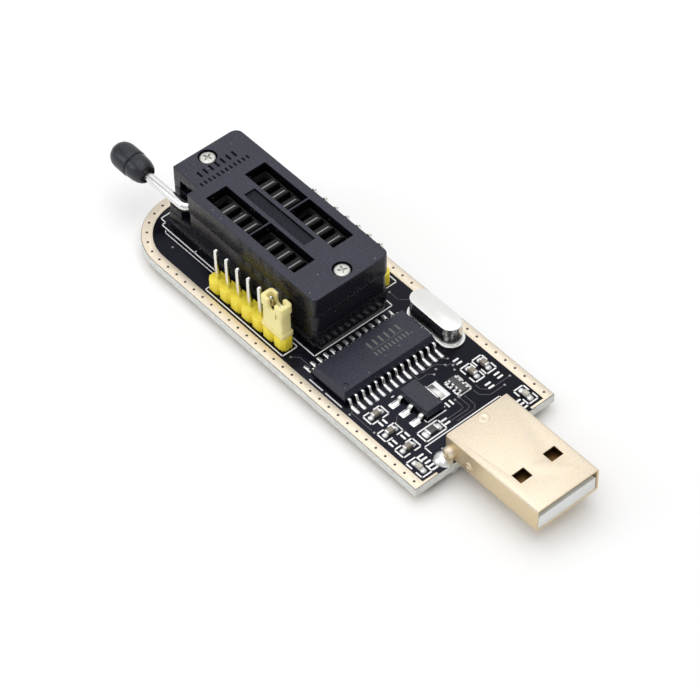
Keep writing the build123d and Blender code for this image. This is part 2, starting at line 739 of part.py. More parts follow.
# ==================================================================================================
# Crystal: flanged base, can and leads
# ==================================================================================================
with BuildPart() as crystal_base:
    with BuildSketch(deck):
        with Locations((crystal_x, crystal_y)):
            SlotOverall(crystal_flange_length, crystal_flange_width)
        with Locations(*crystal_places):
            Circle(crystal_lead_radius, mode=Mode.SUBTRACT)
    extrude(amount=crystal_flange_height)
finish(crystal_base.part, "crystal_base")

with BuildPart() as crystal_can:
    with BuildSketch(deck.offset(crystal_flange_height)):
        with Locations((crystal_x, crystal_y)):
            SlotOverall(crystal_can_length, crystal_can_width)
    extrude(amount=crystal_height - crystal_flange_height)
    fillet(edges().group_by(Axis.Z)[-1], crystal_edge)
finish(crystal_can.part, "crystal_can")

with BuildPart() as crystal_leads:
    with BuildSketch(deck.offset(tail_z)):
        with Locations(*crystal_places):
            Circle(crystal_lead_radius)
    extrude(amount=crystal_flange_height - tail_z)
finish(crystal_leads.part, "crystal_leads")

# ==================================================================================================
# Voltage regulator
# ==================================================================================================
regulator_mid = regulator_standoff + regulator_height / 2
with BuildPart() as regulator_body:
    moulded_body(regulator_x, regulator_y, regulator_length, regulator_width, regulator_standoff,
                 regulator_height, regulator_draft)
finish(regulator_body.part, "regulator_body")

with BuildPart() as regulator_leads:
    for k in (-1, 0, 1):
        gull_wing(cross_plane(regulator_x + k * regulator_lead_pitch), regulator_y - regulator_width / 2,
                  regulator_y - regulator_span / 2, regulator_mid, regulator_foot, regulator_metal,
                  regulator_lead_width)
    gull_wing(cross_plane(regulator_x), regulator_y + regulator_width / 2,
              regulator_y + regulator_span / 2, regulator_mid, regulator_foot, regulator_metal,
              regulator_tab_width)
finish(regulator_leads.part, "regulator_leads")

# ==================================================================================================
# Small parts: a body with a metal cap on each end
# ==================================================================================================
capacitor_spots = [Location((x, y, 0), (0, 0, 90)) for x, y in capacitors_across]
capacitor_spots += [Location((x, y, 0)) for x, y in capacitors_along]
on_board = (Align.CENTER, Align.CENTER, Align.MIN)
with BuildPart(deck) as capacitor_bodies:
    with Locations(*capacitor_spots):
        Box(chip_length - 2 * chip_cap, chip_width, chip_height, align=on_board)
finish(capacitor_bodies.part, "capacitor_bodies")

with BuildPart(deck) as capacitor_caps:
    with Locations(*capacitor_spots):
        with Locations(*[(side * (chip_length - chip_cap) / 2, 0, 0) for side in (-1, 1)]):
            Box(chip_cap, chip_width, chip_height, align=on_board)
finish(capacitor_caps.part, "capacitor_caps")

with BuildPart(deck) as resistor_body:
    with Locations((*resistor_place, 0)):
        Box(resistor_width, resistor_length - 2 * resistor_cap, resistor_height, align=on_board)
finish(resistor_body.part, "resistor_body")

with BuildPart(deck) as resistor_caps:
    with Locations(*[(resistor_place[0], resistor_place[1] + side * (resistor_length - resistor_cap) / 2, 0)
                     for side in (-1, 1)]):
        Box(resistor_width, resistor_cap, resistor_height, align=on_board)
finish(resistor_caps.part, "resistor_caps")

array_caps_x = [array_place[0] + (k - 1.5) * array_pitch for k in range(4)]
array_cap_y = array_width / 2 - array_cap_depth / 2
with BuildPart(deck) as array_terminals:
    with Locations(*[(x, array_place[1] + side * array_cap_y, 0) for x in array_caps_x for side in (-1, 1)]):
        Box(array_cap_width, array_cap_depth, array_height, align=on_board)
finish(array_terminals.part, "array_terminals")

with BuildPart(deck) as array_body:
    with Locations((*array_place, 0)):
        Box(array_length, array_width, array_height, align=on_board)
    with Locations(*[(x, array_place[1] + side * array_cap_y, 0) for x in array_caps_x for side in (-1, 1)]):
        Box(array_cap_width, array_cap_depth, array_height, align=on_board, mode=Mode.SUBTRACT)
finish(array_body.part, "array_body")

with BuildPart(deck) as led_bases:
    with Locations(*[(x, y, 0) for x, y in led_places]):
        Box(led_length - 2 * led_cap, led_width, led_base_height, align=on_board)
finish(led_bases.part, "led_bases")

with BuildPart(deck) as led_lenses:
    with Locations(*[(x, y, led_base_height) for x, y in led_places]):
        Box(led_length - 2 * led_cap, led_width, led_height - led_base_height, align=on_board)
finish(led_lenses.part, "led_lenses")

with BuildPart(deck) as led_caps:
    with Locations(*[(x + side * (led_length - led_cap) / 2, y, 0) for x, y in led_places
                     for side in (-1, 1)]):
        Box(led_cap, led_width, led_base_height, align=on_board)
finish(led_caps.part, "led_caps")

# ==================================================================================================
# Solder joints under the board
# ==================================================================================================
pin_tip = pin_corner + joint_tip_wall
contact_tip = hypot(leaf_thickness, contact_tail_width) / 2 + joint_tip_wall
crystal_tip = crystal_lead_radius + joint_tip_wall
plug_tip = hypot(plug_contact_thickness, plug_contact_width / 2) / 2 + joint_tip_wall

with BuildPart() as socket_solder:
    joints_under(socket_places, lambda: Rectangle(leaf_thickness, contact_tail_width), joint_radius,
                 contact_tip)
finish(socket_solder.part, "socket_solder")

with BuildPart() as header_solder:
    joints_under(pin_places, lambda: Rectangle(pin_side, pin_side), joint_radius, pin_tip)
finish(header_solder.part, "header_solder")

with BuildPart() as crystal_solder:
    joints_under(crystal_places, lambda: Circle(crystal_lead_radius), joint_radius, crystal_tip)
finish(crystal_solder.part, "crystal_solder")

with BuildPart() as plug_solder:
    joints_under(plug_places, lambda: Rectangle(plug_contact_thickness, plug_contact_width / 2),
                 plug_joint_radius, plug_tip)
    joints_under(leg_places, lambda: Rectangle(leg_length, plug_wall), leg_joint_radius,
                 leg_joint_tip_radius)
finish(plug_solder.part, "plug_solder")
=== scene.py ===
"""Looks of a USB memory-chip programmer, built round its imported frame; an add-on run as a script."""

import json
import math
from contextlib import contextmanager

import bmesh
import bpy
from mathutils import Matrix, Quaternion, Vector

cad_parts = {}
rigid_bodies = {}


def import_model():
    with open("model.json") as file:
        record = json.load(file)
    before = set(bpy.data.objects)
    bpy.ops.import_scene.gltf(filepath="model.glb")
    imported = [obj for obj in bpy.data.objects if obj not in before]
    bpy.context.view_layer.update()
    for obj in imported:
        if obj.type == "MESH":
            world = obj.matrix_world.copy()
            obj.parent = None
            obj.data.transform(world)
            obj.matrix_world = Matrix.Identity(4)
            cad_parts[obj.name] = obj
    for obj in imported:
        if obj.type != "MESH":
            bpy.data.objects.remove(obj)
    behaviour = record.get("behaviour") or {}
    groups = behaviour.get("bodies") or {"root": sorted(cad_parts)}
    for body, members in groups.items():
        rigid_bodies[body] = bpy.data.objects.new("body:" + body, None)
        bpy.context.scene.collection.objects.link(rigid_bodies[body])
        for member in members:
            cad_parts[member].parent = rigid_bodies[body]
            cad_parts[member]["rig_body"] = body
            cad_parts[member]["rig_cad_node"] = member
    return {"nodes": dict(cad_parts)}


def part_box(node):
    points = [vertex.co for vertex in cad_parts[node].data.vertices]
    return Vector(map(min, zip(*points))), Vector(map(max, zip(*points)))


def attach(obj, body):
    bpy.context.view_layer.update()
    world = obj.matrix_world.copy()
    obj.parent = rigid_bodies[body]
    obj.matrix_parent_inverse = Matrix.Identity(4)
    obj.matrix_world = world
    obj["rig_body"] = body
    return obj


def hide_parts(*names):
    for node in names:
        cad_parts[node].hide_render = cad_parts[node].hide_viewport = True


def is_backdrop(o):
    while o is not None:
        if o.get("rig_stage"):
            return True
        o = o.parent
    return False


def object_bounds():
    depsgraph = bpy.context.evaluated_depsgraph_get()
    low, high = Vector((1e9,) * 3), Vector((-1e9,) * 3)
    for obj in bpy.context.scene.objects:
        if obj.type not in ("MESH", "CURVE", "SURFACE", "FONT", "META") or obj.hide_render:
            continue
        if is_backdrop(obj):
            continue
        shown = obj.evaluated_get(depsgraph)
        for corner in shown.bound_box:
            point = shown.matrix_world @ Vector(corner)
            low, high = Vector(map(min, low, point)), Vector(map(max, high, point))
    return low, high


bl_info = {
    "name": "Chip programmer looks",
    "version": (1, 0, 0),
    "blender": (4, 5, 0),
    "location": "3D View > Sidebar > Programmer",
    "description": "Models the visible pieces of a USB chip programmer round its frame",
    "category": "Object",
}

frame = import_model()
frame_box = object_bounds()

MM = 0.001
BOARD_LOW, BOARD_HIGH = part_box("circuit_board")
EDGE_X, TOP_Z = BOARD_HIGH.x, BOARD_HIGH.z
UP = Vector((0, 0, 1))
ALONG = Vector((1, 0, 0))
ACROSS = Vector((0, 1, 0))
PIN_PITCH = 2.54
LEAD_PITCH = 1.27


# --- places and sizes -----------------------------------------------------------------------------


def at(x, y, z):
    """A point in the frame, from millimetres on the board: x from its plug edge, y from its middle."""
    return Vector((EDGE_X + x * MM, y * MM, TOP_Z + z * MM))


def spot(point):
    """Millimetres on the board of a point in the frame."""
    return Vector(((point.x - EDGE_X) / MM, point.y / MM, (point.z - TOP_Z) / MM))


def room(node):
    """(low, high) pairs in x, y and z of a frame node, in millimetres on the board."""
    low, high = (spot(corner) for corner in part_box(node))
    return [(low[i], high[i]) for i in range(3)]


# --- modelling ------------------------------------------------------------------------------------


def deselect():
    if bpy.context.mode != "OBJECT":
        bpy.ops.object.mode_set(mode="OBJECT")
    bpy.ops.object.select_all(action="DESELECT")


def activate(obj):
    deselect()
    obj.select_set(True)
    bpy.context.view_layer.objects.active = obj


def settle(name):
    """Names the new object and puts its place, turn and size into its mesh."""
    obj = bpy.context.object
    obj.name = name
    obj.data.name = name
    bpy.ops.object.transform_apply(location=True, rotation=True, scale=True)
    return obj


def block(name, x, y, z):
    """A block between (low, high) pairs, in millimetres on the board."""
    low, high = at(x[0], y[0], z[0]), at(x[1], y[1], z[1])
    deselect()
    bpy.ops.mesh.primitive_cube_add(size=1, location=(low + high) / 2, scale=high - low)
    return settle(name)


@contextmanager
def editing(obj, kind="FACE"):
    """Edit mode on one object, with nothing selected at first."""
    activate(obj)
    bpy.ops.object.mode_set(mode="EDIT")
    bpy.ops.mesh.select_mode(type=kind)
    bpy.ops.mesh.select_all(action="DESELECT")
    yield
    bpy.ops.object.mode_set(mode="OBJECT")


def pick(obj, kind, test):
    """Selects only the edges or faces of the edited mesh that pass a test."""
    mesh = bmesh.from_edit_mesh(obj.data)
    bpy.ops.mesh.select_all(action="DESELECT")
    for item in getattr(mesh, kind):
        if test(item):
            item.select_set(True)
    mesh.select_flush_mode()
    bmesh.update_edit_mesh(obj.data)


def middle(edge):
    """An edge's middle, in millimetres on the board."""
    return spot((edge.verts[0].co + edge.verts[1].co) / 2)


def runs(edge, axis):
    """True if an edge runs along an axis."""
    way = edge.verts[1].co - edge.verts[0].co
    return abs(way.normalized().dot(axis)) > 0.99


def centred(count, pitch):
    """Evenly spaced places either side of 0."""
    return [(k - (count - 1) / 2) * pitch for k in range(count)]


def round_edges(obj, test, width, segments=6):
    """Bevels the edges that pass a test, by a width in millimetres."""
    with editing(obj, "EDGE"):
        pick(obj, "edges", test)
        bpy.ops.mesh.bevel(offset=width * MM, segments=segments, affect="EDGES", clamp_overlap=True)
    return obj


def modify(obj, kind, **settings):
    """Adds a modifier and applies it."""
    activate(obj)
    modifier = obj.modifiers.new(kind.title(), kind)
    for key, value in settings.items():
        setattr(modifier, key, value)
    bpy.ops.object.modifier_apply(modifier=modifier.name)
    return obj


def join(objects, name):
    """Joins pieces into the first one."""
    deselect()
    for obj in objects:
        obj.select_set(True)
    bpy.context.view_layer.objects.active = objects[0]
    if len(objects) > 1:
        bpy.ops.object.join()
    objects[0].name = name
    objects[0].data.name = name
    return objects[0]


def carve(obj, cutters, operation="DIFFERENCE"):
    """Cuts shapes out of a piece, or adds them to it, and removes them."""
    cutter = join(cutters, "cutter")
    modify(obj, "BOOLEAN", operation=operation, solver="EXACT", object=cutter)
    bpy.data.objects.remove(cutter)
    return obj


def soften(obj, width, segments=2, angle=35):
    """Rounds every edge sharper than an angle and shades the faces smooth up to it."""
    modify(obj, "BEVEL", width=width * MM, segments=segments, limit_method="ANGLE",
           angle_limit=math.radians(angle), use_clamp_overlap=True, harden_normals=False)
    return shade(obj, angle)


def shade(obj, angle=35):
    activate(obj)
    bpy.ops.object.shade_smooth_by_angle(angle=math.radians(angle))
    return obj


def copies(obj, shifts, name):
    """Copies a piece to each (x, y, z) shift in millimetres, and joins them in place of the first."""
    made = []
    for shift in shifts:
        twin = obj.copy()
        twin.data = obj.data.copy()
        twin.data.transform(Matrix.Translation(Vector(shift) * MM))
        bpy.context.collection.objects.link(twin)
        made.append(twin)
    bpy.data.objects.remove(obj)
    return join(made, name)


def lathe(name, centre, axis, rings, sides=32, twist=0.0):
    """A round piece about an axis through a point on the board, from (along, radius) pairs."""
    start = at(*centre)
    turn = (axis.to_track_quat("Z", "Y") @ Quaternion((0, 0, 1), math.radians(twist))).to_euler()
    deselect()
    bpy.ops.mesh.primitive_circle_add(vertices=sides, radius=rings[0][1] * MM, fill_type="NGON",
                                      location=start + axis * rings[0][0] * MM, rotation=turn)
    obj = settle(name)
    with editing(obj):
        bpy.ops.mesh.select_all(action="SELECT")
        for (before, old), (along, new) in zip(rings, rings[1:]):
            step = axis * (along - before) * MM
            bpy.ops.mesh.extrude_region_move(TRANSFORM_OT_translate={"value": step})
            bpy.ops.transform.resize(value=(new / old,) * 3, center_override=start + axis * along * MM)
        bpy.ops.mesh.select_all(action="SELECT")
        bpy.ops.mesh.normals_make_consistent(inside=False)
    return obj


def ribbon(name, path, across, width, thickness, edge):
    """A bent strip of sheet metal along a path that starts level, with its width along one axis."""
    points = [at(*p) for p in path]
    first = points[1] - points[0]
    span = across * width * MM
    centre = (points[0] + points[1]) / 2
    deselect()
    bpy.ops.mesh.primitive_plane_add(size=1, location=centre)
    bpy.ops.transform.resize(value=(abs(first.x) + abs(span.x), abs(first.y) + abs(span.y), 1),
                             center_override=centre)
    obj = settle(name)
    with editing(obj, "EDGE"):
        pick(obj, "edges", lambda e: (middle(e) - spot(points[1])).length < 0.01)
        for before, after in zip(points[1:], points[2:]):
            bpy.ops.mesh.extrude_edges_move(TRANSFORM_OT_translate={"value": after - before})
        bpy.ops.mesh.select_all(action="SELECT")
        bpy.ops.mesh.normals_make_consistent(inside=False)
    modify(obj, "SOLIDIFY", thickness=thickness * MM, offset=0, use_even_offset=True)
    return soften(obj, edge, 1, 50)


def from_node(node, name, edge, segments=2, angle=35):
    """A frame node's own shape as a new piece with rounded edges."""
    obj = frame["nodes"][node].copy()
    obj.data = obj.data.copy()
    obj.parent = None
    obj.hide_render = obj.hide_viewport = False
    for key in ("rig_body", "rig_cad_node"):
        del obj[key]
    bpy.context.collection.objects.link(obj)
    obj.name = name
    obj.data.name = name
    obj.data.materials.clear()
    with editing(obj, "VERT"):
        bpy.ops.mesh.select_all(action="SELECT")
        bpy.ops.mesh.remove_doubles(threshold=MM / 500)
        bpy.ops.mesh.dissolve_limited(angle_limit=math.radians(2))
        bpy.ops.mesh.normals_make_consistent(inside=False)
    return soften(obj, edge, segments, angle)


def place(obj, body, slot, material, *nodes):
    """Gives a piece its finish, its body and the frame nodes that it stands for."""
    if material:
        obj.data.materials.clear()
        obj.data.materials.append(material)
    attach(obj, body)
    if nodes:
        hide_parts(*nodes)
    return obj


# --- materials --------------------------------------------------------------------------------------


class Finish:
    """A material whose Principled shader takes constants on its own sockets and patterns from nodes."""

    def __init__(self, name, colour, roughness=0.5, metallic=0.0, **sockets):
        self.made = bpy.data.materials.new(name)
        self.made.use_nodes = True
        self.made.diffuse_color = (*colour, 1)
        self.nodes = self.made.node_tree.nodes
        self.links = self.made.node_tree.links
        self.shader = self.nodes["Principled BSDF"]
        self.shader.inputs["Base Color"].default_value = (*colour, 1)
        self.shader.inputs["Roughness"].default_value = roughness
        self.shader.inputs["Metallic"].default_value = metallic
        for key, value in sockets.items():
            self.shader.inputs[key.replace("_", " ")].default_value = value
        self.colour = colour
        self.height = None
        coordinates = self.nodes.new("ShaderNodeTexCoord")
        scale = self.nodes.new("ShaderNodeMapping")
        scale.inputs["Scale"].default_value = (1 / MM,) * 3
        self.links.new(coordinates.outputs["Object"], scale.inputs["Vector"])
        self.millimetres = scale.outputs["Vector"]

    def stretched(self, x=1.0, y=1.0, z=1.0):
        """The millimetre coordinates, drawn out along an axis."""
        mapping = self.nodes.new("ShaderNodeMapping")
        mapping.inputs["Scale"].default_value = (x, y, z)
        self.links.new(self.millimetres, mapping.inputs["Vector"])
        return mapping.outputs["Vector"]

    def noise(self, per_mm, detail=3.0, vector=None, distortion=0.0):
        node = self.nodes.new("ShaderNodeTexNoise")
        node.inputs["Scale"].default_value = per_mm
        node.inputs["Detail"].default_value = detail
        node.inputs["Distortion"].default_value = distortion
        self.links.new(vector or self.millimetres, node.inputs["Vector"])
        return node.outputs["Fac"]

    def specks(self, per_mm, size, vector=None):
        """1 inside small scattered dots and 0 elsewhere; size is their share of a cell."""
        cells = self.nodes.new("ShaderNodeTexVoronoi")
        cells.inputs["Scale"].default_value = per_mm
        self.links.new(vector or self.millimetres, cells.inputs["Vector"])
        return self.ramp(cells.outputs["Distance"], ((0.0, 1.0), (size, 0.0)))

    def ramp(self, value, stops):
        """Maps a value through (position, level) or (position, colour) stops."""
        node = self.nodes.new("ShaderNodeValToRGB")
        while len(node.color_ramp.elements) < len(stops):
            node.color_ramp.elements.new(1.0)
        for element, (position, level) in zip(node.color_ramp.elements, stops):
            element.position = position
            element.color = (*level, 1) if isinstance(level, tuple) else (level, level, level, 1)
        self.links.new(value, node.inputs["Fac"])
        return node.outputs["Color"]

    def mix(self, share, low, high):
        """A colour between two, each a colour or another node's output."""
        node = self.nodes.new("ShaderNodeMix")
        node.data_type = "RGBA"
        self.links.new(share, node.inputs["Factor"])
        for key, colour in (("A", low), ("B", high)):
            socket = next(s for s in node.inputs if s.name == key and s.type == "RGBA")
            if isinstance(colour, tuple):
                socket.default_value = (*colour, 1)
            else:
                self.links.new(colour, socket)
        return next(s for s in node.outputs if s.type == "RGBA")

    def paint(self, output):
        self.links.new(output, self.shader.inputs["Base Color"])
        return self

    def rise(self, low, high):
        """0 below one height on the board and 1 above another, in millimetres."""
        split = self.nodes.new("ShaderNodeSeparateXYZ")
        self.links.new(self.millimetres, split.inputs["Vector"])
        node = self.nodes.new("ShaderNodeMapRange")
        node.inputs["From Min"].default_value = low + TOP_Z / MM
        node.inputs["From Max"].default_value = high + TOP_Z / MM
        self.links.new(split.outputs["Z"], node.inputs["Value"])
        return node.outputs["Result"]

    def shades(self, share, amount):
        """Paints the base colour darker and lighter by an amount."""
        dark = tuple(c * (1 - amount) for c in self.colour)
        light = tuple(min(1.0, c * (1 + amount)) for c in self.colour)
        return self.paint(self.mix(share, dark, light))

    def polish(self, share, low, high):
        """Roughness between two levels."""
        self.links.new(self.ramp(share, ((0.3, low), (0.7, high))), self.shader.inputs["Roughness"])
        return self

    def bump(self, share, height, strength=1.0):
        """Bump of a height in millimetres, on top of any before it."""
        node = self.nodes.new("ShaderNodeBump")
        node.inputs["Distance"].default_value = height * MM
        node.inputs["Strength"].default_value = strength
        self.links.new(share, node.inputs["Height"])
        if self.height:
            self.links.new(self.height, node.inputs["Normal"])
        self.height = node.outputs["Normal"]
        self.links.new(self.height, self.shader.inputs["Normal"])
        return self


COOL = (0.84, 0.87, 1.0, 1.0)


def moulding(name, colour, roughness=0.5, grain=0.02, glint=0.5, **sockets):
    """Moulded plastic: fine grain, faint mottling and a few specks of dust; glint is its gloss level."""
    finish = Finish(name, colour, roughness, **sockets)
    gloss = finish.shader.inputs["Specular IOR Level"]
    gloss.default_value = glint
    if grain:
        levels = ((0.3, glint * 0.65), (0.7, glint * 1.35))
        finish.links.new(finish.ramp(finish.noise(4.5, 5), levels), gloss)
    dust = finish.specks(0.62, 0.085)
    light = tuple(min(1.0, c + 0.34) for c in colour)
    dark = tuple(c * 0.88 for c in colour)
    body = finish.mix(finish.noise(3.5, 5), dark, tuple(min(1.0, c * 1.14) for c in colour))
    finish.paint(finish.mix(dust, body, light))
    finish.polish(finish.noise(2.5, 2), roughness - 0.06, roughness + 0.08)
    return finish.bump(finish.noise(5, 5), grain) if grain else finish


def metal(name, colour, roughness=0.3, grain=0.006, stretch=None, **sockets):
    """Sheet or drawn metal: soft mottling and a fine grain, drawn out along one axis if stretched."""
    finish = Finish(name, colour, roughness, 1.0, **sockets)
    vector = finish.stretched(*stretch) if stretch else None
    finish.shades(finish.noise(1.6, 4, vector), 0.09)
    finish.polish(finish.noise(3, 3, vector), max(0.05, roughness - 0.07), roughness + 0.08)
    return finish.bump(finish.noise(12, 3, vector), grain)


def solder_finish():
    """Tin solder: bright, with soft lumps and a few dull patches."""
    finish = Finish("solder", (0.84, 0.84, 0.83), 0.32, 1.0)
    finish.shades(finish.noise(2.2, 3), 0.16)
    finish.polish(finish.noise(3.2, 3), 0.2, 0.45)
    return finish.bump(finish.noise(3.0, 2, distortion=0.4), 0.05, 0.6)


def mask_finish(colour):
    """Glossy solder mask: copper fills and weave show through it faintly."""
    finish = Finish("solder_mask", colour, 0.2, Specular_IOR_Level=0.17,
                    Specular_Tint=(0.72, 0.72, 1.0, 1.0))
    finish.shades(finish.noise(0.6, 5), 0.35)
    finish.polish(finish.noise(1.2, 4), 0.16, 0.3)
    weave = finish.nodes.new("ShaderNodeTexChecker")
    weave.inputs["Scale"].default_value = 2.2
    finish.links.new(finish.millimetres, weave.inputs["Vector"])
    finish.bump(weave.outputs["Fac"], 0.002, 0.5)
    return finish.bump(finish.noise(1.8, 4), 0.012)


def fibre_finish(colour):
    """Cut edge of glass-fibre board: pale layers, whitened and frayed."""
    finish = Finish("glass_fibre", colour, 0.7)
    layers = finish.noise(1.0, 4, finish.stretched(0.8, 0.8, 7))
    frayed = finish.mix(finish.noise(3.2, 5), tuple(c * 0.62 for c in colour), colour)
    finish.paint(finish.mix(finish.ramp(layers, ((0.42, 0.0), (0.6, 1.0))), frayed,
                            tuple(min(1.0, c * 1.12) for c in colour)))
    return finish.bump(finish.noise(5, 4), 0.08)


def gilt_finish(name, colour, roughness, metallic):
    """Thin gilt plating with a fine crystalline mottle."""
    finish = Finish(name, colour, roughness, metallic)
    fine = finish.noise(4.5, 5)
    warm = tuple(min(1.0, c * w) for c, w in zip(colour, (1.06, 1.02, 0.95)))
    cool = tuple(c * w for c, w in zip(colour, (0.90, 0.91, 0.95)))
    finish.paint(finish.mix(finish.ramp(fine, ((0.35, 0.0), (0.65, 1.0))), cool, warm))
    finish.polish(finish.noise(4, 4), roughness - 0.08, roughness + 0.1)
    return finish.bump(fine, 0.008)


# --- settings ---------------------------------------------------------------------------------------


def colour_property(name, description, default):
    return bpy.props.FloatVectorProperty(name=name, description=description, subtype="COLOR", size=3,
                                         min=0, max=1, default=default)


def size_property(name, description, default):
    """A length whose default is given in millimetres."""
    return bpy.props.FloatProperty(name=name, description=description, default=default * MM, min=0,
                                   unit="LENGTH", precision=5)


class BoardSettings(bpy.types.PropertyGroup):
    mask: colour_property("Mask", "Colour of the solder mask", (0.0035, 0.0035, 0.006))
    fibre: colour_property("Fibre", "Colour of the board's cut edge", (0.72, 0.73, 0.70))
    gilt: colour_property("Gilt", "Colour of the bare border", (0.88, 0.79, 0.65))
    print_colour: colour_property("Print", "Colour of the printed outlines", (0.90, 0.91, 0.90))
    corner: size_property("Corner", "Radius of the board's far corners", 9.5)
    border: size_property("Border", "Width of the gilt border", 1.8)
    via_pitch: size_property("Via pitch", "Distance between the border's plated holes", 2.1)
    print_line: size_property("Print line", "Width of a printed line", 0.19)


class SocketSettings(bpy.types.PropertyGroup):
    plastic: colour_property("Plastic", "Colour of the socket's mouldings", (0.012, 0.012, 0.022))
    contact: colour_property("Contact", "Colour of the contact leaves", (0.30, 0.30, 0.31))
    knob: colour_property("Knob", "Colour of the lever's knob", (0.010, 0.010, 0.012))
    rod: colour_property("Rod", "Colour of the lever's rod", (0.78, 0.78, 0.78))
    edge: size_property("Edge", "Rounding of the moulded edges", 0.14)


class HeaderSettings(bpy.types.PropertyGroup):
    housing: colour_property("Housing", "Colour of the header housings", (0.90, 0.73, 0.05))
    jumper: colour_property("Jumper", "Colour of the jumper's cap", (0.86, 0.76, 0.34))
    pin: colour_property("Pin", "Colour of the pins", (0.80, 0.79, 0.76))
    edge: size_property("Edge", "Rounding of the moulded edges", 0.1)


class PartsSettings(bpy.types.PropertyGroup):
    chip: colour_property("Chip", "Colour of the moulded chip bodies", (0.012, 0.014, 0.024))
    marking: colour_property("Marking", "Colour of the marks on the controller", (0.13, 0.125, 0.12))
    lead: colour_property("Lead", "Colour of the chips' leads", (0.88, 0.88, 0.87))
    can: colour_property("Can", "Colour of the crystal's can", (0.72, 0.72, 0.71))
    ceramic: colour_property("Ceramic", "Colour of the capacitors", (0.26, 0.22, 0.18))
    lens: colour_property("Lens", "Colour of the lamps' lenses", (0.74, 0.72, 0.62))


class PlugSettings(bpy.types.PropertyGroup):
    shell: colour_property("Shell", "Colour of the plug's shell", (0.79, 0.70, 0.565))
    insulator: colour_property("Insulator", "Colour of the plug's insulator", (0.80, 0.81, 0.80))
    contact: colour_property("Contact", "Colour of the plug's contacts", (0.86, 0.66, 0.30))
    fold: size_property("Fold", "Outer radius of the shell's long folds", 0.45)
    wall: size_property("Wall", "Thickness of the shell's sheet", 0.3)


class StageSettings(bpy.types.PropertyGroup):
    floor: colour_property("Floor", "Colour of the floor", (0.93, 0.93, 0.93))
    distance: size_property("Distance", "Camera to the middle of the board", 475.4)
    azimuth: bpy.props.FloatProperty(name="Azimuth", description="Camera's turn round the object",
                                     subtype="ANGLE", unit="ROTATION", default=math.radians(50.09))
    elevation: bpy.props.FloatProperty(name="Elevation", description="Camera's height above the horizon",
                                       subtype="ANGLE", unit="ROTATION", default=math.radians(48.33))
    roll: bpy.props.FloatProperty(name="Roll", description="Camera's tilt about its own axis",
                                  subtype="ANGLE", unit="ROTATION", default=math.radians(-1.305))
    lens: bpy.props.FloatProperty(name="Lens", description="Camera's focal length", default=164.5, min=1,
                                  unit="CAMERA")


# --- board ------------------------------------------------------------------------------------------


def far_corner(edge):
    """True for a board outline's upright edges at the lever end."""
    return runs(edge, UP) and middle(edge).x < room("circuit_board")[0][0] / 2


class PROGRAMMER_OT_board(bpy.types.Operator):
    """Glass-fibre board with a glossy mask on both faces and a pale cut edge"""

    bl_idname = "programmer.board"
    bl_label = "Board"

    def execute(self, context):
        settings = context.scene.programmer_board
        board = block("board", *room("circuit_board"))
        round_edges(board, far_corner, settings.corner / MM, 28)
        soften(board, 0.05, 2, 60)
        board.data.materials.append(mask_finish(tuple(settings.mask)).made)
        board.data.materials.append(fibre_finish(tuple(settings.fibre)).made)
        for face in board.data.polygons:
            face.material_index = 0 if abs(face.normal.z) > 0.9 else 1
        place(board, "board", "board_mask", None, "circuit_board")
        return {"FINISHED"}


def border_path(radius_inset):
    """(x, y) of the plated holes, round the board a fixed way in from its edge, open at the plug."""
    settings = bpy.context.scene.programmer_board
    corner, pitch = settings.corner / MM, settings.via_pitch / MM
    length, half = -room("circuit_board")[0][0], room("circuit_board")[1][1]
    radius = corner - radius_inset
    first = -1.31
    straight = length - corner + first
    arc = radius * math.pi / 2
    end = 2 * (half - corner)
    total = 2 * straight + 2 * arc + end
    count = round(total / pitch)
    for k in range(count + 1):
        way = total * k / count
        side = -1 if way < total / 2 else 1
        way = min(way, total - way)
        if way < straight:
            yield first - way, side * (half - radius_inset)
        elif way < straight + arc:
            angle = (way - straight) / radius
            yield (-length + corner - radius * math.sin(angle),
                   side * (half - corner + radius * math.cos(angle)))
        else:
            yield -length + radius_inset, side * (half - corner - (way - straight - arc))


class PROGRAMMER_OT_border(bpy.types.Operator):
    """Gilt border on both faces, with a row of small plated holes"""

    bl_idname = "programmer.border"
    bl_label = "Border and plated holes"

    def execute(self, context):
        settings = context.scene.programmer_board
        (x0, x1), (y0, y1), (z0, z1) = room("board_border")
        band, corner, inset = settings.border / MM, settings.corner / MM, 0.08
        half_gap = 9.2
        rings = []
        for low, high in ((0, z1), (z0, z0 + z1)):
            ring = block("ring", (x0 + inset, x1 - inset), (y0 + inset, y1 - inset), (low, high))
            round_edges(ring, far_corner, corner - inset, 28)
            inner = block("inner", (x0 + band, x1 - 0.5), (y0 + band, y1 - band), (low - 1, high + 1))
            round_edges(inner, far_corner, corner - band, 24)
            opening = block("opening", (x1 - 1, x1 + 1), (-half_gap, half_gap), (low - 1, high + 1))
            carve(ring, [inner])
            rings.append(carve(ring, [opening]))
        border = soften(join(rings, "border"), 0.02, 1, 50)
        gilt = gilt_finish("gilt_border", tuple(settings.gilt), 0.5, 0.4).made
        place(border, "board", "border_gilt", gilt, "board_border")

        # a barrel through the board, with a low rim that narrows to the hole at each end
        hole, rim, wall, proud, sunk = 0.12, 0.2, 0.25, 0.012, 0.02
        profile = [(z1 + proud, hole), (z1 + proud, rim), (z1 - sunk, wall),
                   (z0 + sunk, wall), (z0 - proud, rim), (z0 - proud, hole)]
        barrel = lathe("barrel", (0, 0, 0), UP, profile, 12)
        vias = copies(barrel, [(x, y, 0) for x, y in border_path(band / 2)], "border_vias")
        # painted shade: the capped barrels are a near-black brown, for the dark of open holes
        dark = Finish("plated_hole", (0.05, 0.035, 0.02), 0.6)
        dark.shades(dark.noise(6, 2), 0.4)
        place(vias, "board", "border_gilt", dark.made)
        return {"FINISHED"}


PRINT_HEIGHT = 0.012


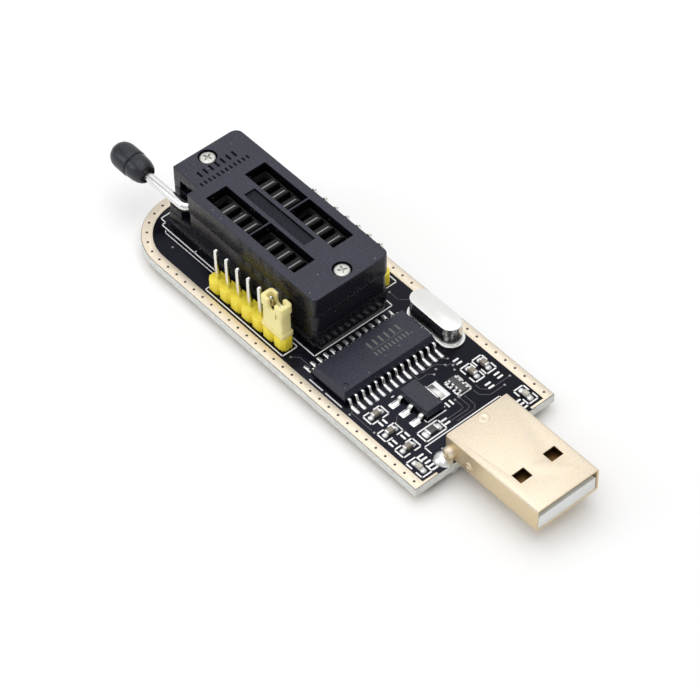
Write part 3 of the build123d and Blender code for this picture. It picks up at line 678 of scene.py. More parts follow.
def stroke(start, end, width):
    """One straight printed line on the board's top face."""
    a, b = at(*start, 0), at(*end, 0)
    way = b - a
    deselect()
    bpy.ops.mesh.primitive_cube_add(size=1, location=(a + b) / 2 + UP * PRINT_HEIGHT * MM / 2,
                                    rotation=(0, 0, math.atan2(way.y, way.x)),
                                    scale=(way.length + width * MM, width * MM, PRINT_HEIGHT * MM))
    line = settle("stroke")
    return round_edges(line, lambda e: runs(e, UP), width * 0.3, 2)


def outline(x, y, gap=None):
    """Ends of the lines round a rectangle; gap=(side, low, high) leaves part of one side open."""
    sides = {
        "low_y": ((x[0], y[0]), (x[1], y[0])),
        "high_y": ((x[0], y[1]), (x[1], y[1])),
        "low_x": ((x[0], y[0]), (x[0], y[1])),
        "high_x": ((x[1], y[0]), (x[1], y[1])),
    }
    for side, (a, b) in sides.items():
        if gap and gap[0] == side:
            i = 0 if side.endswith("_y") else 1
            first, second = list(b), list(a)
            first[i], second[i] = gap[1], gap[2]
            yield a, tuple(first)
            yield tuple(second), b
        else:
            yield a, b


def box_lines(centre, size, gap_share=0.0, along="x"):
    """Outline of a small part's place, open in the middle of its two long sides."""
    x = (centre[0] - size[0] / 2, centre[0] + size[0] / 2)
    y = (centre[1] - size[1] / 2, centre[1] + size[1] / 2)
    for a, b in outline(x, y):
        across = a[0] == b[0]
        if gap_share and across == (along == "y"):
            for share in ((0, (1 - gap_share) / 2), ((1 + gap_share) / 2, 1)):
                yield (tuple(a[i] + (b[i] - a[i]) * share[0] for i in (0, 1)),
                       tuple(a[i] + (b[i] - a[i]) * share[1] for i in (0, 1)))
        else:
            yield a, b


# Outlines printed round the parts: centre and size of each, and the axis that its open sides run along.
PART_BOXES = (
    ((-14.37, -8.6), (2.05, 3.35), "y"),
    ((-10.52, -9.21), (2.0, 3.4), "y"),
    ((-6.6, -9.27), (2.0, 3.4), "y"),
    ((-11.19, 9.86), (3.4, 1.95), "x"),
    ((-11.1, 7.46), (3.4, 1.95), "x"),
    ((-6.69, -4.5), (2.15, 4.0), ""),
    ((-2.82, -10.46), (3.54, 1.94), "x"),
    ((-2.75, 10.45), (3.3, 1.9), "x"),
    ((-10.63, 4.17), (3.3, 2.5), "x"),
)
# Plain marks where a maker prints designators: start, direction and number of bars.
MARKS = (
    ((-12.6, -9.2), "y", 2), ((-8.6, -8.4), "y", 2), ((-8.7, -10.7), "y", 2), ((-8.6, 10.0), "x", 2),
    ((-8.0, 7.7), "x", 2), ((-14.6, 7.3), "x", 2), ((-8.9, 0.5), "y", 2), ((-7.1, -1.8), "x", 2),
    ((-4.3, -8.85), "x", 5), ((-2.6, 8.7), "x", 3),
)


class PROGRAMMER_OT_print(bpy.types.Operator):
    """White printed outlines round the parts, with plain bars in place of lettering"""

    bl_idname = "programmer.print"
    bl_label = "Printed outlines"

    def execute(self, context):
        settings = context.scene.programmer_board
        width = settings.print_line / MM
        bar_half, bar_width, bar_step = 0.38, 0.34, 0.78
        lines, boxes = [], []
        for centre, size, along in PART_BOXES:
            boxes += box_lines(centre, size, 0.3 if along else 0, along)
        # round the socket, with a jog at the lever's end
        end = room("socket_base")[0][1] + 0.12
        lines += [((end, -7.85), (end, 7.55)), ((end, -7.85), (-65.3, -7.85)),
                  ((-65.3, -7.85), (-65.3, -7.1)), ((-65.3, -7.1), (-66.5, -7.1)),
                  ((-66.5, -7.1), (-66.5, 7.55)), ((end, 7.55), (-66.5, 7.55)),
                  ((-57.4, -7.85), (-57.4, -7.45))]
        fine_lines = [((-63.6, -8.5), (-50.34, -8.42)), ((-63.6, -8.5), (-63.9, -8.25))]
        # round the two headers
        lines += outline((-50.34, -32.23), (-11.39, -8.5))
        lines += outline((-50.34, -32.3), (8.2, 11.25))
        # behind and beside the plug
        lines += [((-5.1, -7.4), (-5.1, 7.4)), ((-5.1, -7.4), (-3.64, -7.4)), ((-5.1, 7.4), (-3.64, 7.4))]
        # round the controller and the regulator
        lines += [((-26.0, -11.35), (-23.2, -11.35)), ((-22.4, -11.35), (-18.9, -11.35)),
                  ((-15.4, -4.25), (-15.4, -4.6)), ((-8.3, -0.35), (-8.3, -3.95)),
                  ((-8.3, -3.95), (-8.9, -3.95)), ((-15.4, 0.0), (-14.2, 0.0)), ((-9.4, 0.0), (-8.9, 0.0))]
        pieces = []
        for group, share in ((lines, 1), (boxes, 1.3), (fine_lines, 0.7)):
            pieces += [stroke(a, b, width * share) for a, b in group]
        for (x, y), along, count in MARKS:
            for k in range(count):
                step = k * bar_step
                if along == "x":
                    ends = (x + step, y - bar_half), (x + step, y + bar_half)
                else:
                    ends = (x - bar_half, y + step), (x + bar_half, y + step)
                pieces.append(stroke(*ends, bar_width))
        printed = join(pieces, "printed_outlines")
        ink = Finish("print_white", tuple(settings.print_colour), 0.6)
        ink.shades(ink.noise(5, 4), 0.16)
        ink.bump(ink.noise(8, 3), 0.01)
        place(printed, "board", "board_mask", ink.made)
        return {"FINISHED"}


# Copper tracks that stand up faintly under the mask, as (x, y) corners.
TRACKS = (
    ((-8.9, 2.0), (-7.2, 2.0), (-6.9, 1.7), (-6.9, -2.4), (-6.9, -2.6)),
    ((-8.9, 2.8), (-6.7, 2.8), (-6.3, 2.4), (-6.3, -1.0)),
    ((-8.6, 3.6), (-6.3, 3.6), (-5.7, 3.0), (-5.7, -0.4)),
    ((-17.0, 0.6), (-15.3, 0.6), (-15.3, 2.3), (-14.6, 3.0)),
    ((-17.0, 1.87), (-16.0, 1.87), (-16.0, 4.4), (-14.9, 5.5)),
    ((-17.0, 3.14), (-16.6, 3.14), (-16.6, 5.6), (-15.6, 6.6)),
    ((-8.4, 5.3), (-7.4, 5.3), (-6.2, 6.5), (-6.2, 9.0)),
    ((-9.0, 6.2), (-8.0, 6.2), (-7.0, 7.2), (-7.0, 10.9)),
    ((-13.6, 7.2), (-14.6, 6.2), (-14.6, 5.4)),
    ((-17.2, -9.6), (-17.2, -11.0), (-12.6, -11.0)),
    ((-12.2, -6.4), (-11.2, -7.4), (-8.0, -7.4)),
    ((-27.9, -9.6), (-30.3, -9.6), (-31.3, -10.6)),
    ((-31.4, 9.0), (-29.4, 9.0), (-28.4, 10.0), (-28.4, 11.2)),
)
# Small plated holes near the tracks, as (x, y).
VIAS = (
    (-14.6, 3.0), (-14.9, 5.5), (-15.6, 6.6), (-14.1, 6.3), (-13.3, 5.9), (-15.2, 3.9), (-13.4, 2.2),
    (-8.9, 2.0), (-8.9, 2.8), (-6.9, -2.9), (-12.0, -11.0), (-6.2, 9.4), (-7.0, 11.2), (-16.4, -6.7),
    (-17.0, -11.4), (-31.3, -10.6), (-28.4, 11.2), (-31.4, 9.0), (-60.5, -9.6), (-3.2, -5.6), (-3.4, 4.6),
)


class PROGRAMMER_OT_tracks(bpy.types.Operator):
    """Copper tracks that stand up faintly under the mask, and their small plated holes"""

    bl_idname = "programmer.tracks"
    bl_label = "Tracks"

    def execute(self, context):
        settings = context.scene.programmer_board
        track_width = 0.11
        pieces = [stroke(a, b, track_width) for path in TRACKS for a, b in zip(path, path[1:])]
        colour = tuple(c * 2 + 0.1 for c in settings.mask)
        raised = mask_finish(colour).made
        raised.name = "mask_over_copper"
        tracks = join(pieces, "mask_tracks")
        place(shade(tracks, 40), "board", "board_mask", raised)

        ring = lathe("ring", (0, 0, 0), UP, [(-0.02, 0.2), (0.018, 0.2), (0.024, 0.16), (0.01, 0.09)], 12)
        vias = shade(copies(ring, [(x, y, 0) for x, y in VIAS], "track_vias"), 40)
        tin = Finish("via_tin", (0.30, 0.30, 0.31), 0.4, 0.8)
        tin.shades(tin.noise(6, 2), 0.3)
        place(vias, "board", "board_mask", tin.made)
        return {"FINISHED"}


# --- socket -----------------------------------------------------------------------------------------


class PROGRAMMER_OT_socket_cover(bpy.types.Operator):
    """Socket cover with two slotted rows, a label recess and plain raised bars"""

    bl_idname = "programmer.socket_cover"
    bl_label = "Socket cover"

    def execute(self, context):
        settings = context.scene.programmer_socket
        (x0, x1), (y0, y1), (z0, top) = room("socket_cover")
        z1 = top - 0.03
        (cx0, cx1), (cy0, cy1), (_, cz1) = room("socket_comb")
        cover = block("socket_cover_moulding", (x0, x1), (y0, y1), (z0, z1))
        round_edges(cover, lambda e: runs(e, UP) and middle(e).y > 0, 1.3, 6)
        round_edges(cover, lambda e: (runs(e, UP) and middle(e).y < y0 + 0.1
                                      and middle(e).x > x1 - 0.1), 0.7, 5)
        notch_x, notch_y = x0 + 6.0, -5.3
        slot_x = (x0 + x1) / 2 + 1.03
        slot_half, rib, row, slot_width = 10.25, 0.35, 3.81, 3.94
        cutters = [block("notch", (x0 - 1, notch_x), (y0 - 1, notch_y), (z0 - 1, z1 + 1))]
        for side in (-1, 1):
            rows = (side * row - slot_width / 2, side * row + slot_width / 2)
            for low, high in ((-slot_half, -rib / 2), (rib / 2, slot_half)):
                cutters.append(block("slot", (slot_x + low, slot_x + high), rows, (cz1 - 0.5, z1 + 1)))
        label_half, label_depth = 7, 0.45
        cutters.append(block("recess", (slot_x - label_half, slot_x + label_half), (-1.05, 1.05),
                             (z1 - label_depth, z1 + 1)))
        clearance = 0.12
        cutters.append(block("comb_room", (cx0 - clearance, cx1 + 0.9 + clearance),
                             (cy0 - clearance, cy1 + clearance), (z0 - 1, cz1 + clearance)))
        for cutter in cutters:
            carve(cover, [cutter])
        for x in (x0 + 1.85, x1 - 2.4):
            carve(cover, [lathe("screw_seat", (x, 0, 0), UP, [(z1 - 0.95, 1.5), (z1 + 1, 1.5)], 40)])
        soften(cover, settings.edge / MM, 3)
        colour = tuple(settings.plastic)
        plastic = moulding("socket_plastic", colour, 0.46, 0.04, 0.6, Specular_Tint=COOL).made
        # painted shade: the outer and notch walls take a copy of the plastic at half its colour, with no
        # grain and less gloss
        sides = moulding("socket_sides", tuple(c * 0.5 for c in colour), 0.28, 0, 0.3).made
        # painted shade: slot, recess, comb-room and screw-seat walls take a near-black, matte copy of the
        # plastic
        inside = moulding("socket_inside", tuple(c * 0.15 for c in colour), 0.7, 0, 0.05).made
        stipple = moulding("label_stipple", tuple(c * 0.6 for c in colour), 0.55, 0.05, 0.35,
                           Specular_Tint=COOL)
        stipple.bump(stipple.noise(2.6, 3, distortion=1.5), 0.22)
        place(cover, "board", "socket_black", None, "socket_cover")
        for material in (plastic, sides, inside, stipple.made):
            # top faces take the plastic, the label floor the stipple, and the walls the two painted-shade
            # copies
            cover.data.materials.append(material)
        for face in cover.data.polygons:
            centre = spot(face.center)
            level = face.normal.z > 0.5
            outer = max(abs(centre.y) - y1, x0 - centre.x, centre.x - x1) > -0.4
            if level and centre.z > z1 - 0.2:
                face.material_index = 0
            elif level and abs(centre.y) < 1 and centre.z > z1 - label_depth - 0.1:
                face.material_index = 3
            elif outer or (centre.x < notch_x + 0.2 and centre.y < notch_y + 0.2):
                face.material_index = 1
            else:
                face.material_index = 2

        # plain bars where a maker's lettering would stand, in two rows across the cover; they take the
        # near-black painted shade of the slot walls, standing in for the shadow in moulded lettering
        bars = []
        rows = ((x0 + 4.1, 1.3, 0.4, 7, 1.12), (x0 + 5.95, 0.8, 0.32, 12, 0.82))
        for x, length, width, count, pitch in rows:
            for y in centred(count, pitch):
                bar = block("bar", (x - length / 2, x + length / 2), (y - width / 2, y + width / 2),
                            (z1 - 0.05, top))
                bars.append(soften(bar, 0.03, 1))
        raised = join(bars, "cover_bars")
        place(raised, "board", "socket_black", inside)
        return {"FINISHED"}


class PROGRAMMER_OT_socket_base(bpy.types.Operator):
    """Socket base, contact leaves and the sliding comb"""

    bl_idname = "programmer.socket_base"
    bl_label = "Socket base, contacts and comb"

    def execute(self, context):
        settings = context.scene.programmer_socket
        plastic, bright = tuple(settings.plastic), tuple(settings.contact)
        # painted shade: the base, seen at its sides under the cover, takes a copy of the cover's plastic
        # at 0.4 of its colour, glossier
        base_plastic = moulding("base_plastic", tuple(c * 0.4 for c in plastic), 0.24, 0, 0.3).made
        base = from_node("socket_base", "socket_base_moulding", 0.09)
        place(base, "board", "socket_black", base_plastic, "socket_base")

        # painted shade: the leaves' colour and gloss fade with height from bright at the slots to near
        # black below, standing in for the shade inside the socket
        leaves = from_node("socket_contacts", "contact_leaves", 0.03, 1)
        leaf = metal("contact_metal", bright, 0.42, 0.002, (1, 1, 6))
        leaf.shader.inputs["Metallic"].default_value = 0.55
        top = room("socket_contacts")[2][1]
        lit = leaf.rise(top - 1.0, top - 0.15)
        leaf.paint(leaf.mix(lit, tuple(c * 0.03 for c in bright), bright))
        leaf.links.new(leaf.ramp(lit, ((0.0, 0.02), (1.0, 0.4))), leaf.shader.inputs["Specular IOR Level"])
        place(leaves, "board", "contact_metal", leaf.made, "socket_contacts")

        # the comb is a dull dark grey, taken from the leaves' colour
        comb = from_node("socket_comb", "comb_moulding", 0.05, 1)
        comb_plastic = moulding("comb_plastic", tuple(c * 0.15 for c in bright), 0.7, 0, 0.05).made
        place(comb, "comb", "socket_black", comb_plastic, "socket_comb")
        return {"FINISHED"}


class PROGRAMMER_OT_screws(bpy.types.Operator):
    """Two cross-recessed screws with domed heads"""

    bl_idname = "programmer.screws"
    bl_label = "Cover screws"

    def execute(self, context):
        (x0, x1), _, (z0, z1) = room("cover_screws")
        radius, shank = 1.3, 0.8
        screws = []
        for x, turn in ((x0 + radius, 20), (x1 - radius, 65)):
            screw = lathe("screw", (x, 0, 0), UP,
                          [(z0, 0.3), (z0 + 0.5, shank), (z1 - 0.75, shank), (z1 - 0.75, radius - 0.05),
                           (z1 - 0.68, radius), (z1 - 0.2, radius), (z1 - 0.09, radius - 0.1),
                           (z1 - 0.03, radius * 0.7), (z1, radius * 0.35)], 40)
            slot = Vector((1.5, 0.3, 0.7)) * MM
            for angle in (turn, turn + 90):
                deselect()
                bpy.ops.mesh.primitive_cube_add(size=1, location=at(x, 0, z1), scale=slot,
                                                rotation=(0, 0, math.radians(angle)))
                carve(screw, [settle("slot")])
            carve(screw, [lathe("recess", (x, 0, 0), UP, [(z1 - 0.5, 0.12), (z1 + 0.1, 0.42)], 16)])
            screws.append(soften(screw, 0.035, 1, 40))
        pair = join(screws, "cross_screws")
        steel = metal("screw_steel", (0.60, 0.60, 0.57), 0.4, 0.03).made
        place(pair, "board", "screw_steel", steel, "cover_screws")
        return {"FINISHED"}


class PROGRAMMER_OT_lever(bpy.types.Operator):
    """Bent lever rod with its knob"""

    bl_idname = "programmer.lever"
    bl_label = "Lever"

    def execute(self, context):
        settings = context.scene.programmer_socket
        (rx0, rx1), (ry0, ry1), (rz0, rz1) = room("lever_rod")
        radius = (rz1 - rz0) / 2
        height, pivot, rod_y = (rz0 + rz1) / 2, rx1 - radius, ry0 + radius
        bend = 1.1
        deselect()
        bpy.ops.mesh.primitive_circle_add(vertices=32, radius=radius * MM, fill_type="NGON",
                                          location=at(pivot, ry1, height), rotation=(math.pi / 2, 0, 0))
        rod = settle("lever_wire")
        with editing(rod):
            bpy.ops.mesh.select_all(action="SELECT")
            bpy.ops.mesh.extrude_region_move(
                TRANSFORM_OT_translate={"value": -ACROSS * (ry1 - rod_y - bend) * MM})
            bpy.ops.mesh.spin(steps=12, angle=math.pi / 2, center=at(pivot - bend, rod_y + bend, height),
                              axis=(0, 0, 1))
            bpy.ops.mesh.extrude_region_move(
                TRANSFORM_OT_translate={"value": -ALONG * (pivot - bend - rx0) * MM})
            bpy.ops.mesh.select_all(action="SELECT")
            bpy.ops.mesh.remove_doubles(threshold=MM / 500)
            bpy.ops.mesh.normals_make_consistent(inside=False)
        soften(rod, 0.1, 2, 60)
        steel = metal("rod_steel", tuple(settings.rod), 0.2, 0.004, (0.3, 3, 3)).made
        place(rod, "lever", "rod_steel", steel, "lever_rod")

        (kx0, kx1), (ky0, ky1), _ = room("lever_knob")
        nose = (ky1 - ky0) / 2
        split = 4.8
        rings = [(nose * (1 - math.cos(a)), nose * math.sin(a))
                 for a in (math.radians(d) for d in (4, 12, 22, 33, 45, 58, 72, 90))]
        rings += [(split - 0.25, nose), (split - 0.1, nose - 0.03), (split, nose - 0.2),
                  (split + 0.1, nose - 0.13)]
        mouth, back, length = 1.25, nose - 0.1, kx1 - kx0
        span = length - split - 0.25
        rings += [(split + 0.25 + span * math.sin(a), mouth + (back - mouth) * math.cos(a))
                  for a in (math.radians(d) for d in (0, 25, 45, 62, 76, 86, 90))]
        rings += [(length, radius + 0.12), (length - 0.3, radius + 0.02)]
        knob = shade(lathe("lever_grip", (kx0, (ky0 + ky1) / 2, height), ALONG, rings, 48), 50)
        plastic = moulding("knob_plastic", tuple(settings.knob), 0.34, 0.01, Specular_Tint=COOL).made
        place(knob, "lever", "knob_black", plastic, "lever_knob")

        cams = from_node("lever_cams", "cam_pair", 0.05, 1)
        place(cams, "lever", "rod_steel", steel, "lever_cams")
        return {"FINISHED"}


# --- headers ----------------------------------------------------------------------------------------


class PROGRAMMER_OT_headers(bpy.types.Operator):
    """Two yellow pin headers with square pins"""

    bl_idname = "programmer.headers"
    bl_label = "Pin headers"

    def execute(self, context):
        settings = context.scene.programmer_header
        nylon = moulding("header_nylon", tuple(settings.housing), 0.4, 0.008, Subsurface_Weight=0.15,
                         Subsurface_Radius=(0.0008, 0.0006, 0.0001)).made
        tin = metal("pin_tin", tuple(settings.pin), 0.2, 0.004, (3, 3, 0.4)).made
        pitch, side = PIN_PITCH, 0.64
        for name in ("near_header", "far_header"):
            (x0, x1), (y0, y1), (z0, z1) = room(f"{name}_housing")
            ways = round((x1 - x0) / pitch)
            y = (y0 + y1) / 2
            cell = block("cell", (x0, x0 + pitch), (y0, y1), (z0, z1))
            round_edges(cell, lambda e: runs(e, UP), 0.62, 1)
            foot = block("foot", (x0 + 0.5, x0 + pitch - 0.5), (y0 - 1, y1 + 1), (z0 - 1, z0 + 0.28))
            carve(cell, [foot])
            soften(cell, settings.edge / MM, 2, 30)
            cells = copies(cell, [(k * pitch, 0, 0) for k in range(ways)], f"{name}_strip")
            place(cells, "board", "header_yellow", nylon, f"{name}_housing")
            _, _, (pz0, pz1) = room(f"{name}_pins")
            x = x0 + pitch / 2
            corner, tip = side / math.sqrt(2), 0.26
            pin = lathe("pin", (x, y, 0), UP, [(pz0, corner / 2), (pz0 + tip, corner), (pz1 - tip, corner),
                                               (pz1, corner / 2)], 4, 45)
            soften(pin, 0.05, 2, 30)
            pins = copies(pin, [(k * pitch, 0, 0) for k in range(ways)], f"{name}_posts")
            place(pins, "board", "contact_metal", tin, f"{name}_pins")
        return {"FINISHED"}


class PROGRAMMER_OT_jumper(bpy.types.Operator):
    """Pale yellow jumper cap with two open lobes, and its clip"""

    bl_idname = "programmer.jumper"
    bl_label = "Jumper"

    def execute(self, context):
        settings = context.scene.programmer_header
        (x0, x1), (y0, y1), (z0, z1) = room("jumper_cap")
        x, y = (x0 + x1) / 2, (y0 + y1) / 2
        lobe, depth, tuck, corner = 1.75, 1.7, 0.27, 0.62
        cap = block("jumper_shell", (x0 + tuck, x1 - tuck), (y0 + tuck * 0.7, y1 - tuck * 0.7),
                    (z0 + 0.5, z1 - depth + 0.3))
        round_edges(cap, lambda e: runs(e, UP), 0.35, 3)
        collar = block("collar", (x0 + 0.04, x1 - 0.04), (y0 + 0.04, y1 - 0.04), (z0, z0 + 0.7))
        carve(cap, [round_edges(collar, lambda e: runs(e, UP), 0.3, 3)], "UNION")
        for outer, inner in ((x0, x0 + lobe), (x1, x1 - lobe)):
            head = block("head", sorted((outer, inner)), (y0, y1), (z1 - depth, z1))
            round_edges(head, lambda e: runs(e, UP) and abs(middle(e).x - outer) < 0.01, corner, 5)
            round_edges(head, lambda e: runs(e, UP) and abs(middle(e).x - inner) < 0.01, 0.3, 3)
            round_edges(head, lambda e: abs(spot(e.verts[0].co).z - spot(e.verts[1].co).z) < 0.01, 0.18, 3)
            carve(cap, [head], "UNION")
        # passage for the pins and the clip, wider at the lobes, and the saddle between them
        carve(cap, [block("passage", (x - 1.62, x + 1.62), (y - 0.57, y + 0.57), (z0 - 1, z1 + 1))])
        mouth = block("mouth", (x - 1.75, x + 1.75), (y - 0.62, y + 0.62), (z1 - 1.5, z1 + 1))
        carve(cap, [round_edges(mouth, lambda e: runs(e, UP), 0.3, 4)])
        saddle = block("saddle", (x - 0.72, x + 0.72), (y0 - 1, y1 + 1), (z1 - 1.95, z1 + 1))
        carve(cap, [round_edges(saddle, lambda e: runs(e, ACROSS) and middle(e).z < z1, 0.5, 4)])
        for side in (-1, 1):
            slit_x, slit_y = x - side * 0.95, sorted((y + side * 0.5, y + side * 3))
            carve(cap, [block("slit", (slit_x - 0.15, slit_x + 0.15), slit_y, (z1 - 3.1, z1 - 1.7))])
        soften(cap, 0.07, 2, 40)
        nylon = moulding("jumper_nylon", tuple(settings.jumper), 0.4, 0.008, Subsurface_Weight=0.2,
                         Subsurface_Radius=(0.0008, 0.0007, 0.0003)).made
        place(cap, "jumper", "jumper_yellow", nylon, "jumper_cap")
        clip = from_node("jumper_clip", "jumper_spring", 0.05, 1)
        brass = metal("clip_brass", (0.52, 0.40, 0.20), 0.3).made
        place(clip, "jumper", "contact_metal", brass, "jumper_clip")
        return {"FINISHED"}


# --- chips ------------------------------------------------------------------------------------------


def moulded(name, node, draft, edge):
    """A moulded body that drafts in above and below its parting line."""
    x, y, z = room(node)
    obj = block(name, x, y, z)
    centre = at(sum(x) / 2, sum(y) / 2, sum(z) / 2)
    size = (x[1] - x[0], y[1] - y[0])
    shrink = [1 - 2 * draft / s for s in size]
    with editing(obj):
        bpy.ops.mesh.select_all(action="SELECT")
        bpy.ops.mesh.bisect(plane_co=centre, plane_no=UP)
        for end in z:
            pick(obj, "faces", lambda f: abs(spot(f.calc_center_median()).z - end) < 0.01)
            bpy.ops.transform.resize(value=(*shrink, 1), center_override=centre)
    return soften(obj, edge, 2, 12)


class PROGRAMMER_OT_controller(bpy.types.Operator):
    """Controller chip with its 28 gull-wing leads"""

    bl_idname = "programmer.controller"
    bl_label = "Controller"

    def execute(self, context):
        settings = context.scene.programmer_parts
        (x0, x1), (y0, y1), (_, z1) = room("controller_body")
        x, y = (x0 + x1) / 2, (y0 + y1) / 2
        body = moulded("controller_moulding", "controller_body", 0.42, 0.07)
        dimple = [(z1 - 0.1, 0.42), (z1 + 0.3, 0.56)]
        carve(body, [lathe("dimple", (x1 - 1.35, y0 + 1.4, 0), UP, dimple, 32)])
        epoxy = moulding("chip_epoxy", tuple(settings.chip), 0.38, 0.02, 0.55, Specular_Tint=COOL).made
        place(shade(body, 30), "board", "chip_black", epoxy, "controller_body")

        marks = []
        rows = ((x - 1.15, 1.0, 0.34, 6, 1.12), (x + 0.7, 0.65, 0.24, 10, 0.68))
        for mx, length, width, count, pitch in rows:
            for my in (y + 2.9 + step for step in centred(count, pitch)):
                marks.append(stroke_on((mx - length / 2, my), (mx + length / 2, my), width, z1))
        marks.append(stroke_on((x - 0.2, y - 0.3), (x - 0.2, y + 6.1), 0.08, z1))
        printed = join(marks, "controller_marks")
        ink = Finish("laser_mark", tuple(settings.marking), 0.6)
        ink.shades(ink.noise(7, 3), 0.35)
        place(printed, "board", "chip_black", ink.made)

        reach, foot, level, count = room("controller_leads")[0][1] - x, 0.13, 1.3, 14
        lx, first = x1 - x - 0.1, y - (count - 1) / 2 * LEAD_PITCH
        shifts = [(0, k * LEAD_PITCH, 0) for k in range(count)]
        leads, mounds = [], []
        for side in (-1, 1):
            path = [(lx, level), (lx + 0.42, level), (lx + 0.56, level - 0.1), (lx + 0.68, foot + 0.32),
                    (lx + 0.8, foot + 0.08), (lx + 0.95, foot), (reach - 0.02, foot)]
            points = [(x + side * px, first, pz) for px, pz in path]
            leads.append(copies(ribbon("lead", points, ACROSS, 0.42, 0.22, 0.035), shifts, "lead_row"))
            mound = solder_mound((x + side * 5.35, first), (1.75, 0.62), 0.2)
            mounds.append(copies(mound, shifts, "mound_row"))
        tin = metal("lead_tin", tuple(settings.lead), 0.2, 0.008).made
        place(join(leads, "controller_pins"), "board", "solder", tin, "controller_leads")
        place(join(mounds, "controller_joints"), "board", "solder", solder())
        return {"FINISHED"}


def stroke_on(start, end, width, height):
    """A printed line on a raised face."""
    line = stroke(start, end, width)
    line.data.transform(Matrix.Translation(UP * (height - PRINT_HEIGHT * 0.6) * MM))
    return line


def solder():
    return bpy.data.materials.get("solder") or solder_finish().made


def flat_pad(centre, size, height):
    """A thin sheet of solder that fills a rectangular pad."""
    x, y = centre
    pad = block("pad", (x - size[0] / 2, x + size[0] / 2), (y - size[1] / 2, y + size[1] / 2), (0, height))
    round_edges(pad, lambda e: runs(e, UP), 0.16, 3)
    return soften(pad, height * 0.6, 3, 40)


def solder_mound(centre, size, height):
    """A low lump of solder on a pad."""
    x, y = centre
    half_x, half_y = size[0] / 2, size[1] / 2
    mound = block("mound", (x - half_x, x + half_x), (y - half_y, y + half_y), (0, height * 0.25))
    round_edges(mound, lambda e: runs(e, UP), min(half_x, half_y) * 0.6, 2)
    with editing(mound):
        pick(mound, "faces", lambda f: f.normal.z > 0.9)
        bpy.ops.mesh.inset(thickness=min(half_x, half_y) * 0.45 * MM, depth=height * 0.75 * MM)
    return shade(mound, 70)


class PROGRAMMER_OT_crystal(bpy.types.Operator):
    """Crystal can with a rolled flange"""

    bl_idname = "programmer.crystal"
    bl_label = "Crystal"

    def execute(self, context):
        settings = context.scene.programmer_parts
        nickel = Finish("crystal_nickel", tuple(settings.can), 0.24, 1.0)
        nickel = nickel.shades(nickel.noise(0.5, 2), 0.03).made
        full_round = 0.999
        shells = []
        for name, node, lip in (("can", "crystal_can", 0.5), ("flange", "crystal_base", 0.16)):
            x, y, (low, high) = room(node)
            sunk = 0.2 if name == "can" else 0
            shell = block(name, x, y, (low - sunk, high))
            round_edges(shell, lambda e: runs(e, UP), (y[1] - y[0]) / 2 * full_round, 14)
            round_edges(shell, lambda e: abs(middle(e).z - high) < 0.01, lip, 5)
            if name == "flange":
                round_edges(shell, lambda e: abs(middle(e).z - low) < 0.01, lip, 3)
            shells.append(shade(shell, 40))
        can, flange = shells
        place(can, "board", "crystal_metal", nickel, "crystal_can")

        # the weld step between the flange and the can
        (x0, x1), (y0, y1), (_, top) = room("crystal_base")
        step, rise = 0.35, 0.16
        foot = block("foot", (x0 + step, x1 - step), (y0 + step, y1 - step), (top - 0.02, top + rise))
        round_edges(foot, lambda e: runs(e, UP), (y1 - y0) / 2 * full_round - step, 14)
        round_edges(foot, lambda e: abs(middle(e).z - top - rise) < 0.01, 0.1, 2)
        rim = join([flange, shade(foot, 40)], "crystal_flange")
        place(rim, "board", "crystal_metal", nickel, "crystal_base")
        leads = from_node("crystal_leads", "crystal_wires", 0.03, 1)
        place(leads, "board", "crystal_metal", nickel, "crystal_leads")
        return {"FINISHED"}


class PROGRAMMER_OT_regulator(bpy.types.Operator):
    """Voltage regulator with three leads and a tab"""

    bl_idname = "programmer.regulator"
    bl_label = "Regulator"

    def execute(self, context):
        settings = context.scene.programmer_parts
        (x0, x1), (y0, y1), (z0, z1) = room("regulator_body")
        x = (x0 + x1) / 2
        body = moulded("regulator_moulding", "regulator_body", 0.26, 0.06)
        epoxy = moulding("regulator_epoxy", tuple(c * 1.25 for c in settings.chip), 0.45, 0.04).made
        place(body, "board", "chip_black", epoxy, "regulator_body")
        _, (ly0, ly1), _ = room("regulator_leads")
        level, foot = (z0 + z1) / 2, 0.15
        pieces, mounds = [], []
        tabs = [(x + k, 0.75, y0, ly0) for k in centred(3, 2.3)] + [(x, 3.0, y1, ly1)]
        for px, width, start, tip in tabs:
            way = 1 if tip > start else -1
            path = [(-0.1, level), (0.32, level), (0.45, level - 0.1), (0.6, foot + 0.25),
                    (0.75, foot + 0.04), (0.9, foot)]
            path = [(start + way * out, pz) for out, pz in path] + [(tip, foot)]
            pieces.append(ribbon("lead", [(px, py, pz) for py, pz in path], ALONG, width, 0.25, 0.04))
            inner, outer = start + way * 0.7, tip + way * (0.85 if width > 1 else 0.5)
            mounds.append(flat_pad((px, (inner + outer) / 2), (width + 0.42, abs(outer - inner)), 0.14))
        tin = metal("regulator_tin", tuple(settings.lead), 0.22, 0.008).made
        place(join(pieces, "regulator_pins"), "board", "solder", tin, "regulator_leads")
        place(join(mounds, "regulator_joints"), "board", "solder", solder())
        return {"FINISHED"}


# Small parts: frame node, piece, rounding, slot and finish.
SMALL_PARTS = (
    ("capacitor_bodies", "capacitor_blocks", 0.06, "capacitor_brown", "ceramic"),
    ("capacitor_caps", "capacitor_ends", 0.1, "solder", "tin"),
    ("resistor_body", "resistor_block", 0.05, "resistor_black", "glaze"),
    ("resistor_caps", "resistor_ends", 0.08, "solder", "tin"),
    ("array_body", "array_block", 0.04, "resistor_black", "glaze"),
    ("array_terminals", "array_ends", 0.05, "solder", "tin"),
    ("led_bases", "lamp_bases", 0.04, "white_plastic", "white"),
    ("led_lenses", "lamp_lenses", 0.1, "led_lens", "lens"),
    ("led_caps", "lamp_ends", 0.05, "solder", "tin"),
)
